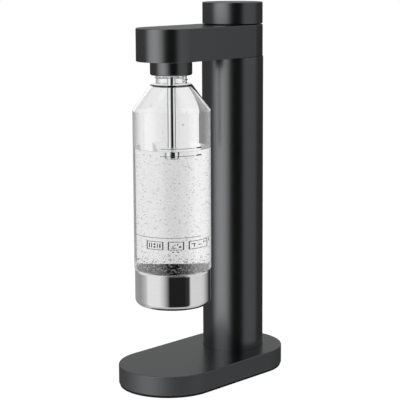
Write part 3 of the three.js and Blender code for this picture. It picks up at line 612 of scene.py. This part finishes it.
def outerRim(co):
    # On the base's outer wall rather than the inner one
    away = max(abs(co.y - (baseFrontY + baseRearY) / 2) - (baseRearY - baseFrontY) / 2, 0)
    return math.hypot(co.x, away) > baseRadius - base["wall"] / 2


makeBaseShell()

plateLow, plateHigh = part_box("base_bottom_plate")
hatchLow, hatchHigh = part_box("cylinder_hatch")
plate = {"edge": 0.4 * mm, "holeGap": 0.3 * mm, "lugAngle": 24, "notchGap": 2, "notchTurn": -40,
         "screwHole": 1.7 * mm, "counterbore": 3.3 * mm, "counterboreDeep": 1.6 * mm}
hatch = {"recess": 22 * mm, "recessDeep": 2.6 * mm, "grip": 4 * mm, "edge": 0.6 * mm,
         "topEdge": 0.3 * mm, "lugs": 3, "lugLong": 3 * mm, "lugRoot": 2 * mm, "lugGap": 0.3 * mm,
         "lugDrop": 0.05 * mm}
lugReach = hatchHigh.x
hatchRadius = lugReach - hatch["lugLong"]


def sectorCutter(begin, end, inner, outer, bottom, top):
    # A block spun through part of a turn round the column's axis
    piece = pointAt("sector", (inner, columnY, bottom))
    extrude((outer - inner, 0, 0))
    extrude((0, 0, top - bottom))
    extrude((inner - outer, 0, 0))
    bpy.ops.mesh.select_all(action="SELECT")
    bpy.ops.mesh.edge_face_add()
    bpy.ops.transform.rotate(value=math.radians(begin), orient_axis="Z", center_override=(0, columnY, 0))
    objectMode()
    settle()
    editMode()
    bpy.ops.mesh.select_all(action="SELECT")
    bpy.ops.mesh.spin(steps=8, angle=math.radians(end - begin), center=(0, columnY, 0), axis=(0, 0, 1))
    weldAndTurnOut()
    objectMode()
    return piece


def screwPlaces(prefix):
    places = []
    for name in sorted(frame["nodes"]):
        if name.startswith(prefix):
            low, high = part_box(name)
            places.append((name, (low.x + high.x) / 2, (low.y + high.y) / 2, low.z, high.z))
    return places


def makeBottomPlate():
    piece = stadiumBlock("base_plate", plateHigh.x, baseFrontY, baseRearY, plateLow.z, plateHigh.z)
    editMode()
    roundEdges(lambda co, e: near(co.z, plateLow.z), plate["edge"], 3)
    objectMode()
    above = plateHigh.z + cutPast
    cutWith(piece, roundCutter(0, columnY, hatchRadius + plate["holeGap"], -cutPast, above, facets["wide"]))
    half = plate["lugAngle"] / 2 + plate["notchGap"]
    for lug in range(hatch["lugs"]):
        middle = lug * 360 / hatch["lugs"] + plate["notchTurn"]
        cutWith(piece, sectorCutter(middle - half, middle + half, hatchRadius - hatch["lugRoot"],
                                    lugReach + plate["holeGap"], -cutPast, above))
    for name, x, y, low, high in screwPlaces("bottom_screw_"):
        cutWith(piece, roundCutter(x, y, plate["counterbore"], -cutPast, low + plate["counterboreDeep"],
                                   facets["head"]))
        cutWith(piece, roundCutter(x, y, plate["screwHole"], -cutPast, above, facets["hole"]))
    return finishPiece(piece, "frame", ["base_bottom_plate"], blackAbs)


makeBottomPlate()

screw = {"head": 3.0 * mm, "headHigh": 1.1 * mm, "shank": 1.4 * mm, "point": 1.2 * mm, "tip": 0.3 * mm,
         "crossLong": 1.1, "crossWide": 0.28, "crossDeep": 1.1, "crossTaper": 0.55}


def makeScrew(name, x, y, low, high):
    # A pan head with a cross recess, and a shank that climbs into the part above it
    head, headHigh, shank = screw["head"], screw["headHigh"], screw["shank"]
    section = rounded([
        (0, low, 0), (head, low, headHigh * 0.45), (head, low + headHigh, 0), (shank, low + headHigh, 0),
        (shank, high - screw["point"], 0), (screw["tip"], high, 0), (0, high, 0)], 4)
    piece = spinSection(name + "_turned", section, 0.0, facets["screw"])
    for angle in (0, 90):
        deselectAll()
        bpy.ops.mesh.primitive_cube_add(
            size=1, location=(0, 0, low), rotation=(0, 0, math.radians(angle)),
            scale=(head * screw["crossLong"], head * screw["crossWide"], headHigh * screw["crossDeep"]))
        cross = bpy.context.object
        settle()
        editMode()
        pick("FACE", lambda co, f: co.z > low + headHigh * 0.4)
        bpy.ops.transform.resize(value=(screw["crossTaper"], screw["crossTaper"], 1))
        objectMode()
        cutWith(piece, cross)
    moveMesh(piece, (x, y, 0))
    return finishPiece(piece, "frame", [name], zinc, 40)


for row in screwPlaces("bottom_screw_") + screwPlaces("arm_cover_screw_"):
    makeScrew(*row)

footLow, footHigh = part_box("foot_ring")
foot = {"width": 11.8 * mm, "groove": 0.5 * mm, "grooveIn": 0.3}


def makeFootRing():
    piece = stadiumBlock("foot_gasket", footHigh.x, baseFrontY, baseRearY, footLow.z, footHigh.z)
    editMode()
    pick("FACE", lambda co, f: abs(f.normal.z) > 0.9)
    bpy.ops.mesh.inset(thickness=foot["width"])
    bpy.ops.mesh.bridge_edge_loops()
    weldAndTurnOut()
    # one shallow grip groove all round the sole
    pick("FACE", lambda co, f: f.normal.z < -0.9)
    bpy.ops.mesh.inset(thickness=foot["width"] * foot["grooveIn"])
    extrude((0, 0, foot["groove"]))
    objectMode()
    return finishPiece(piece, "frame", ["foot_ring"], rubber)


makeFootRing()


def makeHatch():
    discTop = hatchHigh.z
    piece = spinSection("hatch_disc", rounded([
        (0, hatchLow.z, 0), (hatchRadius, hatchLow.z, hatch["edge"]),
        (hatchRadius, discTop, hatch["topEdge"]), (0, discTop, 0)], 3), columnY, facets["wide"])
    lugBottom = plateHigh.z + hatch["lugGap"]
    half = plate["lugAngle"] / 2
    for lug in range(hatch["lugs"]):
        middle = lug * 360 / hatch["lugs"]
        tab = sectorCutter(middle - half, middle + half, hatchRadius - hatch["lugRoot"], lugReach,
                           lugBottom, discTop - hatch["lugDrop"])
        cutWith(piece, tab, "UNION")
    # The finger recess: two half-round pockets either side of the grip bar
    for side in (-1, 1):
        pocket = roundCutter(0, columnY, hatch["recess"], -cutPast, hatchLow.z + hatch["recessDeep"],
                             facets["middle"])
        editMode()
        bpy.ops.mesh.select_all(action="SELECT")
        bpy.ops.mesh.bisect(plane_co=(0, columnY + side * hatch["grip"], 0), plane_no=(0, side, 0),
                            use_fill=True, clear_inner=True, clear_outer=False)
        bpy.ops.mesh.select_all(action="SELECT")
        bpy.ops.mesh.normals_make_consistent(inside=False)
        objectMode()
        cutWith(piece, pocket)
    return finishPiece(piece, "hatch", ["cylinder_hatch"], blackAbs)


makeHatch()
print("base made")


# Column, arm and knob

column = {"wall": 2 * mm, "edge": 0.3 * mm}


def makeColumn():
    inner, edge = columnRadius - column["wall"], column["edge"]
    piece = spinSection("column_shaft", rounded([
        (inner, tubeLow.z, 0), (columnRadius, tubeLow.z, edge), (columnRadius, tubeHigh.z, edge),
        (inner, tubeHigh.z, edge), (inner, tubeLow.z, 0)], 3), columnY, facets["large"])
    return finishPiece(piece, "frame", ["column_tube"], anodised)


makeColumn()

armLow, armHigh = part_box("arm_shell")
armRadius = armHigh.x
armFrontY = armLow.y + armRadius
arm = {"wall": 2.5 * mm, "edge": 1.0 * mm, "lowerEdge": 0.4 * mm, "bushHole": 13.3 * mm,
       "pinHole": 1.8 * mm, "holeDeep": 6 * mm}
stopLow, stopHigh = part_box("knob_stop_pin")


def makeArm():
    piece = stadiumBlock("arm_cover", armRadius, armFrontY, columnY, armLow.z, armHigh.z)
    editMode()
    pick("FACE", lambda co, f: f.normal.z < -0.9)
    bpy.ops.mesh.inset(thickness=arm["wall"])
    extrude((0, 0, armHigh.z - armLow.z - arm["wall"]))
    roundEdges(lambda co, e: near(co.z, armHigh.z), arm["edge"], 5)
    roundEdges(lambda co, e: near(co.z, armLow.z), arm["lowerEdge"], 3)
    objectMode()
    bottom, top = armHigh.z - arm["holeDeep"], armHigh.z + cutPast
    cutWith(piece, roundCutter(0, columnY, arm["bushHole"], bottom, top, facets["narrow"]))
    cutWith(piece, roundCutter((stopLow.x + stopHigh.x) / 2, (stopLow.y + stopHigh.y) / 2, arm["pinHole"],
                               bottom, top, facets["hole"]))
    return finishPiece(piece, "frame", ["arm_shell"], anodised)


makeArm()

armPlateLow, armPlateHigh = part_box("arm_bottom_plate")
armPlate = {"edge": 0.4 * mm, "columnHole": 20.3 * mm, "socketHole": 16.3 * mm, "mountHole": 2.1 * mm,
            "screwHole": 1.7 * mm, "counterbore": 3.3 * mm, "counterboreDeep": 1.4 * mm}


def makeArmPlate():
    piece = stadiumBlock("arm_underside", armPlateHigh.x, armFrontY, columnY, armPlateLow.z, armPlateHigh.z)
    editMode()
    roundEdges(lambda co, e: near(co.z, armPlateLow.z), armPlate["edge"], 3)
    objectMode()
    bottom, top = armPlateLow.z - cutPast, armPlateHigh.z + cutPast
    cutWith(piece, roundCutter(0, columnY, armPlate["columnHole"], bottom, top, facets["middle"]))
    cutWith(piece, roundCutter(0, bottleY, armPlate["socketHole"], bottom, top, facets["middle"]))
    for name, x, y, low, high in screwPlaces("arm_mount_screw_") + screwPlaces("nozzle_head_screw_"):
        cutWith(piece, roundCutter(x, y, armPlate["mountHole"], bottom, top, facets["hole"]))
    for name, x, y, low, high in screwPlaces("arm_cover_screw_"):
        cutWith(piece, roundCutter(x, y, armPlate["counterbore"], bottom,
                                   low + armPlate["counterboreDeep"], facets["head"]))
        cutWith(piece, roundCutter(x, y, armPlate["screwHole"], bottom, top, facets["hole"]))
    return finishPiece(piece, "frame", ["arm_bottom_plate"], blackAbs)


makeArmPlate()

knobLow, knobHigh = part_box("knob_cap")
knob = {"wall": 2.2 * mm, "roof": 2.6 * mm, "edge": 0.8 * mm, "lowerEdge": 0.5 * mm, "boss": 6 * mm,
        "bossBore": 2 * mm, "hubGap": 0.3 * mm}


def makeKnob():
    radius = (knobHigh.x - knobLow.x) / 2
    inner, roof = radius - knob["wall"], knobHigh.z - knob["roof"]
    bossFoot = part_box("knob_hub")[1].z + knob["hubGap"]
    piece = spinSection("knob_shell", rounded([
        (0, knobHigh.z, 0), (radius, knobHigh.z, knob["edge"]), (radius, knobLow.z, knob["lowerEdge"]),
        (inner, knobLow.z, 0.3 * mm), (inner, roof, 1.0 * mm), (knob["boss"], roof, 0.6 * mm),
        (knob["boss"], bossFoot, 0), (knob["bossBore"], bossFoot, 0), (knob["bossBore"], roof, 0),
        (0, roof, 0)], 5), columnY, facets["large"])
    return finishPiece(piece, "knob", ["knob_cap"], anodised)


makeKnob()

socketLow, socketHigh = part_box("bottle_socket")
socket = {"bore": 18.6 * mm, "ceiling": 12.2 * mm, "shoulder": 15.2 * mm, "stub": 16 * mm, "edge": 2.0 * mm,
          "ballSeat": 7.3 * mm, "seatDeep": 8.4 * mm, "gasWay": 5.8 * mm}


def makeSocket():
    bore, stub, seat, way = socket["bore"], socket["stub"], socket["ballSeat"], socket["gasWay"]
    radius = socketHigh.x
    ceiling = socketLow.z + socket["ceiling"]
    shoulder = socketLow.z + socket["shoulder"]
    lip = socketHigh.z - socket["seatDeep"]
    piece = spinSection("bottle_collar", rounded([
        (bore, ceiling, 0), (bore, socketLow.z, 0.6 * mm), (radius, socketLow.z, socket["edge"]),
        (radius, shoulder, 0.3 * mm), (stub, shoulder, 0), (stub, socketHigh.z, 0.3 * mm),
        (seat, socketHigh.z, 0), (seat, lip, 0), (way, lip, 0), (way, ceiling, 0),
        (bore, ceiling, 0)], 5), bottleY, facets["wide"])
    return finishPiece(piece, "frame", ["bottle_socket"], satinPlastic)


makeSocket()
print("column, arm and knob made")


# Nozzle

pipeLow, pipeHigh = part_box("nozzle_tube")
tipLow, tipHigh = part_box("nozzle_tip")
nozzle = {"bore": 3 * mm, "edge": 0.3 * mm, "jet": 1 * mm, "tipRound": 2.2 * mm, "tipTopRound": 0.8 * mm,
          "gap": 0.3 * mm}


def makeNozzle():
    radius, bore, jet = pipeHigh.x, nozzle["bore"], nozzle["jet"]
    pipe = spinSection("nozzle_pipe", rounded([
        (bore, pipeLow.z, 0), (radius, pipeLow.z, nozzle["edge"]), (radius, pipeHigh.z, nozzle["edge"]),
        (bore, pipeHigh.z, 0), (bore, pipeLow.z, 0)], 3), bottleY, facets["pipe"])
    finishPiece(pipe, "nozzle", ["nozzle_tube"], chrome)
    hole = radius + nozzle["gap"]
    floor = pipeLow.z - nozzle["gap"]
    tip = spinSection("nozzle_end", rounded([
        (jet, tipLow.z, 0), (tipHigh.x, tipLow.z, nozzle["tipRound"]),
        (tipHigh.x, tipHigh.z, nozzle["tipTopRound"]), (hole, tipHigh.z, 0),
        (hole, floor, 0), (jet, floor, 0), (jet, tipLow.z, 0)], 6), bottleY, facets["narrow"])
    finishPiece(tip, "nozzle", ["nozzle_tip"], chrome)


makeNozzle()


# Bottle, cup, water and print

petLow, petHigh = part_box("bottle_body")
bottle = {
    "radius": petHigh.x,
    "wall": 2.0 * mm,
    "neckOut": 17 * mm,
    "neckIn": 14.3 * mm,
    "neckHigh": 19.4 * mm,
    "shoulder": 23.1 * mm,
    "coneHigh": 27.1 * mm,
    "cupFit": 41.12 * mm,
    "ring": 27 * mm,
    "domeRing": 15 * mm,
    "domeRingHigh": 4.5 * mm,
    "domeHigh": 6 * mm,
}
neckTop = petHigh.z
neckFoot = neckTop - bottle["neckHigh"]
shoulderZ = neckFoot - 1 * mm
coneFoot = shoulderZ - bottle["coneHigh"]
cupTop = cupHigh.z


def petSections():
    # Outer and inner half sections of the bottle, from the middle of its bottom to the neck and back
    wall, radius, fit, low = bottle["wall"], bottle["radius"], bottle["cupFit"], petLow.z
    shoulder, ring, dome = bottle["shoulder"], bottle["ring"], bottle["domeRing"]
    outside = [
        (0, low + bottle["domeHigh"], 0), (dome, low + bottle["domeRingHigh"], 6 * mm),
        (ring, low, 5 * mm), (fit, low, 7 * mm),
        (fit, cupTop, 0.3 * mm), (radius, cupTop + 0.3 * mm, 0.5 * mm), (radius, coneFoot, 3 * mm),
        (shoulder, shoulderZ, 0.5 * mm), (shoulder - 0.6 * mm, neckFoot, 0.3 * mm),
        (bottle["neckOut"], neckFoot + 0.3 * mm, 0.4 * mm), (bottle["neckOut"], neckTop, 0.6 * mm)]
    inside = [
        (bottle["neckIn"], neckTop, 0.6 * mm), (bottle["neckIn"], neckFoot - 1.4 * mm, 1.5 * mm),
        (shoulder - wall, shoulderZ - 2.2 * mm, 1 * mm), (radius - wall, coneFoot - 0.6 * mm, 2.4 * mm),
        (radius - wall, cupTop + 1.2 * mm, 0.8 * mm), (fit - wall, cupTop - 0.6 * mm, 0.8 * mm),
        (fit - wall, low + wall, 5.6 * mm), (ring, low + wall, 4 * mm),
        (dome, low + bottle["domeRingHigh"] + wall, 5 * mm), (0, low + bottle["domeHigh"] + wall, 0)]
    return outside, inside


thread = {"turns": 2.6, "pitch": 5 * mm, "steps": 36, "start": 2.6 * mm, "root": 0.4 * mm, "crest": 18.2 * mm,
          "flank": 1.0 * mm, "flat": 0.7 * mm, "runOut": 0.25, "runOutStart": 0.15}


def makeThread():
    # One raised thread, run out at both ends, as a flat band turned and lifted together
    turns, pitch = thread["turns"], thread["pitch"]
    start = neckFoot + thread["start"]
    root = bottle["neckOut"] - thread["root"]
    out = thread["crest"] - root
    piece = pointAt("bottle_thread", (root, bottleY, start))
    for r, z in [(out, thread["flank"]), (0, thread["flat"]), (-out, thread["flank"])]:
        extrude((r, 0, z))
    bpy.ops.mesh.select_all(action="SELECT")
    bpy.ops.mesh.edge_face_add()
    objectMode()
    settle()
    # the screw modifier turns about the origin
    moveMesh(piece, (0, -bottleY, 0))
    steps = int(thread["steps"] * turns)
    applyModifier(piece, "SCREW", {
        "angle": 2 * math.pi * turns, "steps": steps, "render_steps": steps, "screw_offset": pitch * turns,
        "axis": "Z", "use_merge_vertices": False, "use_normal_calculate": True})
    # the thread sinks into the neck at both ends
    for v in piece.data.vertices:
        angle = math.atan2(v.co.y, v.co.x)
        lift = v.co.z - start
        along = min(lift / pitch, turns - lift / pitch)
        fade = min(max((along + thread["runOutStart"]) / thread["runOut"], 0), 1)
        r = math.hypot(v.co.x, v.co.y)
        sunk = root + (r - root) * fade
        v.co.x, v.co.y = sunk * math.cos(angle), sunk * math.sin(angle)
    moveMesh(piece, (0, bottleY, 0))
    editMode()
    pick("EDGE", lambda co, e: len(e.link_faces) == 1)
    bpy.ops.mesh.edge_face_add()
    bpy.ops.mesh.select_all(action="SELECT")
    bpy.ops.mesh.normals_make_consistent(inside=False)
    objectMode()
    return piece


def makeBottle():
    outside, inside = petSections()
    piece = spinSection("bottle_blown", rounded(outside + inside, 6), bottleY, facets["large"])
    cutWith(piece, makeThread(), "UNION")
    return finishPiece(piece, "bottle", ["bottle_body"], clearPet, 30, False)


makeBottle()

cup = {"wall": 0.8 * mm, "fillet": 7 * mm, "lip": 1.8 * mm, "lipIn": 0.55 * mm, "ring": 30 * mm,
       "domeHigh": 1.0 * mm, "brightRim": 0.4 * mm}


def outward(point):
    # Away from the bottle's axis
    return Vector((point.x, point.y - bottleY, 0)).normalized()


def makeCup():
    radius, wall, dome, ring = cupHigh.x, cup["wall"], cupLow.z + cup["domeHigh"], cup["ring"]
    piece = spinSection("bottle_base_cup", rounded([
        (0, dome, 0), (ring, cupLow.z, 3 * mm), (radius, cupLow.z, cup["fillet"]),
        (radius, cupTop - cup["lip"], 1.2 * mm), (radius - cup["lipIn"], cupTop, 0.2 * mm),
        (radius - wall, cupTop, 0), (radius - wall, cupLow.z + wall, cup["fillet"] - wall),
        (ring, cupLow.z + wall, 3 * mm), (0, dome + wall, 0)], 8), bottleY, facets["large"])
    finishPiece(piece, "bottle", ["bottle_cup"], mirrorSteel, 35, False)
    # The wall's inner faces are unpolished up to just under the rim, and take the painted shade
    piece.data.materials.append(cupPaintedShade)
    for face in piece.data.polygons:
        away = math.hypot(face.center.x, face.center.y - bottleY)
        inside = (away < radius - wall / 2
                  and cupLow.z + wall * 0.9 < face.center.z < cupTop - cup["brightRim"])
        face.material_index = 1 if inside and face.normal.dot(outward(face.center)) < 0.05 else 0


makeCup()

water = {"level": 268 * mm, "overlap": 0.15 * mm, "meniscus": 0.3 * mm, "meniscusWide": 0.6 * mm}


def makeWaterBody():
    # Fills the bottle to its level and reaches a hair into the wall, so that no air film is left
    level, overlap = water["level"], water["overlap"]
    wet = []
    # the corners of the inner section from just above the cup down to the middle of the bottom
    for r, z, rounding in petSections()[1][4:]:
        sink = overlap if z < cupTop - 10 * mm else 0
        wet.append((r + overlap if r > 0 else 0, z - sink, rounding))
    radius = bottle["radius"] - bottle["wall"] + overlap
    top = [(radius, level + water["meniscus"], 0), (radius - water["meniscusWide"], level, 0), (0, level, 0)]
    piece = spinSection("bottle_water", rounded(wet[::-1] + top, 5), bottleY, facets["large"])
    return finishPiece(piece, "bottle", [], waterClear, 50, False)


makeWaterBody()


def scatter(name, places, segments, rings):
    # One small ball, copied to each place (x, y, z, radius) and joined
    deselectAll()
    bpy.ops.mesh.primitive_uv_sphere_add(segments=segments, ring_count=rings, radius=1, location=(0, 0, 0))
    ball = bpy.context.object
    copies = []
    for x, y, z, radius in places:
        copy = ball.copy()
        copy.data = ball.data.copy()
        copy.location = (x, y, z)
        copy.scale = (radius, radius, radius)
        bpy.context.scene.collection.objects.link(copy)
        copies.append(copy)
    bpy.data.objects.remove(ball)
    return joinAll(copies, name)


def roundBottle(away, angle, z, radius):
    return (away * math.cos(angle), bottleY + away * math.sin(angle), z, radius)


# Sizes and heights are drawn as a random share raised to a power: the higher the power, the more are
# small or low
fizz = {
    "seed": 7,
    "small": 0.26 * mm,
    "large": 0.75 * mm,
    "wall": {"count": 2800, "sizePower": 5, "heightPower": 1.15, "low": 1.5 * mm, "high": 1.5 * mm,
             "skin": 0.35 * mm, "spread": 1.2 * mm},
    "deep": {"count": 1500, "sizePower": 4, "heightPower": 1.7, "low": 14 * mm, "tall": 26 * mm,
             "skin": 1.2 * mm},
}


def bubbleRadius(power):
    return fizz["small"] + (fizz["large"] - fizz["small"]) * random.random() ** power


def scatterBubbles():
    # Gas clings to the wall and crowds above the bottle's bottom
    random.seed(fizz["seed"])
    inner = bottle["radius"] - bottle["wall"]
    innerLow = bottle["cupFit"] - bottle["wall"]
    onWall, deep = [], []
    kind = fizz["wall"]
    tall = water["level"] - cupTop - kind["low"] - kind["high"]
    for i in range(kind["count"]):
        radius = bubbleRadius(kind["sizePower"])
        angle = random.uniform(0, 2 * math.pi)
        z = cupTop + kind["low"] + tall * random.random() ** kind["heightPower"]
        away = inner - radius - kind["skin"] - abs(random.gauss(0, 1)) * kind["spread"]
        onWall.append(roundBottle(away, angle, z, radius))
    kind = fizz["deep"]
    for i in range(kind["count"]):
        radius = bubbleRadius(kind["sizePower"])
        angle = random.uniform(0, 2 * math.pi)
        z = cupTop - kind["low"] + kind["tall"] * random.random() ** kind["heightPower"]
        away = (innerLow - kind["skin"]) * math.sqrt(random.random()) ** 0.5 - radius
        deep.append(roundBottle(away, angle, z, radius))
    finishPiece(scatter("bottle_bubbles", onWall, 8, 5), "bottle", [], shadedGasBubble, 80, False)
    # the crowded bubbles over the bottom take the lit copy, a painted highlight
    finishPiece(scatter("bottle_bubbles_deep", deep, 8, 5), "bottle", [], bubblePaintedHighlight, 80, False)


scatterBubbles()

drops = {"seed": 3, "count": 16, "small": 0.5 * mm, "large": 1.5 * mm, "above": 6 * mm, "below": 4 * mm,
         "coneGap": 0.6 * mm, "sunk": 0.35}


def makeDrops():
    # Water drops left hanging on the inside of the cone and the wall above the water
    random.seed(drops["seed"])
    slope = (bottle["radius"] - bottle["shoulder"]) / bottle["coneHigh"]
    places = []
    for i in range(drops["count"]):
        radius = drops["small"] + (drops["large"] - drops["small"]) * random.random() ** 2
        angle = random.uniform(0, 2 * math.pi)
        z = random.uniform(water["level"] + drops["above"], shoulderZ - drops["below"])
        wall = bottle["radius"] - bottle["wall"]
        if z > coneFoot:
            wall -= slope * (z - coneFoot) + drops["coneGap"]
        places.append(roundBottle(wall - drops["sunk"] * radius, angle, z, radius))
    finishPiece(scatter("bottle_drops", places, 16, 9), "bottle", [], waterClear, 80, False)


makeDrops()

# The print faces the front right. Flat rectangles as (left, right, low, high): millimetres round the wall
# from the middle of the print, and millimetres up from the cup's top.
marks = {
    "facing": 44.2,
    "thick": 0.06 * mm,
    "proud": 0.02 * mm,
    "step": 1.5,
    "lines": [(-13, 26.3, 139, 139.5), (28.3, 35.9, 138.8, 140.2), (-13, 26.3, 131, 131.5),
              (28.3, 35.9, 130.8, 132.2), (-51.7, 34.2, 41.9, 42.4)],
    "boxes": [(-30.8, -10.1), (-5.3, 12.7), (17.9, 46.5)],
    "boxLow": 28.9,
    "boxHigh": 38.2,
    "side": 1.4,
    "rail": 0.6,
    "symbols": [(-27.4, -26.2, 31, 36), (-24.6, -23.4, 31, 36), (-21.6, -19.4, 31, 33),
                (-21.6, -19.4, 34, 36), (-17.6, -16.6, 31, 36), (-14.9, -13.3, 31, 36),
                (-1.6, 4.2, 30.9, 31.7), (-0.6, 1.2, 32.4, 33.2), (1.2, 2.8, 33.9, 34.7),
                (4.6, 6.2, 34.2, 35.6), (6.8, 9.4, 31.4, 33.2), (21.4, 27.0, 34.4, 35.3),
                (24.6, 25.8, 31.2, 34.4), (30.5, 35.5, 32.6, 33.5), (38.5, 40.3, 34.0, 36.2),
                (42.0, 44.2, 34.4, 35.4), (49.5, 51.3, 34.2, 37.2)],
    "dots": [(-0.6, 1.4, 26.3, 27.1), (4.6, 7.0, 26.2, 27.2)],
}


def printMark(left, right, low, high):
    # A flat strip beside the wall, bent round it
    deselectAll()
    steps = max(1, round((right - left) / marks["step"]))
    bpy.ops.mesh.primitive_grid_add(x_subdivisions=steps, y_subdivisions=1, size=1, location=(0, 0, 0))
    strip = bpy.context.object
    radius = bottle["radius"] + marks["proud"]
    middle = math.radians(marks["facing"])
    for v in strip.data.vertices:
        along = (left + right) / 2 + v.co.x * (right - left)
        turned = middle + along * mm / bottle["radius"]
        z = cupTop + (low if v.co.y < 0 else high) * mm
        v.co = (radius * math.sin(turned), bottleY - radius * math.cos(turned), z)
    return strip


def makePrintedMarks():
    strips = marks["lines"] + marks["symbols"] + marks["dots"]
    low, high, side, rail = marks["boxLow"], marks["boxHigh"], marks["side"], marks["rail"]
    for left, right in marks["boxes"]:
        strips += [(left, left + side, low, high), (right - side, right, low, high),
                   (left + side, right - side, low, low + rail),
                   (left + side, right - side, high - rail, high)]
    piece = joinAll([printMark(*strip) for strip in strips], "bottle_print")
    applyModifier(piece, "SOLIDIFY", {"thickness": marks["thick"], "offset": 1.0})
    finishPiece(piece, "bottle", [], printInk, 40, False)


makePrintedMarks()
print("bottle made")
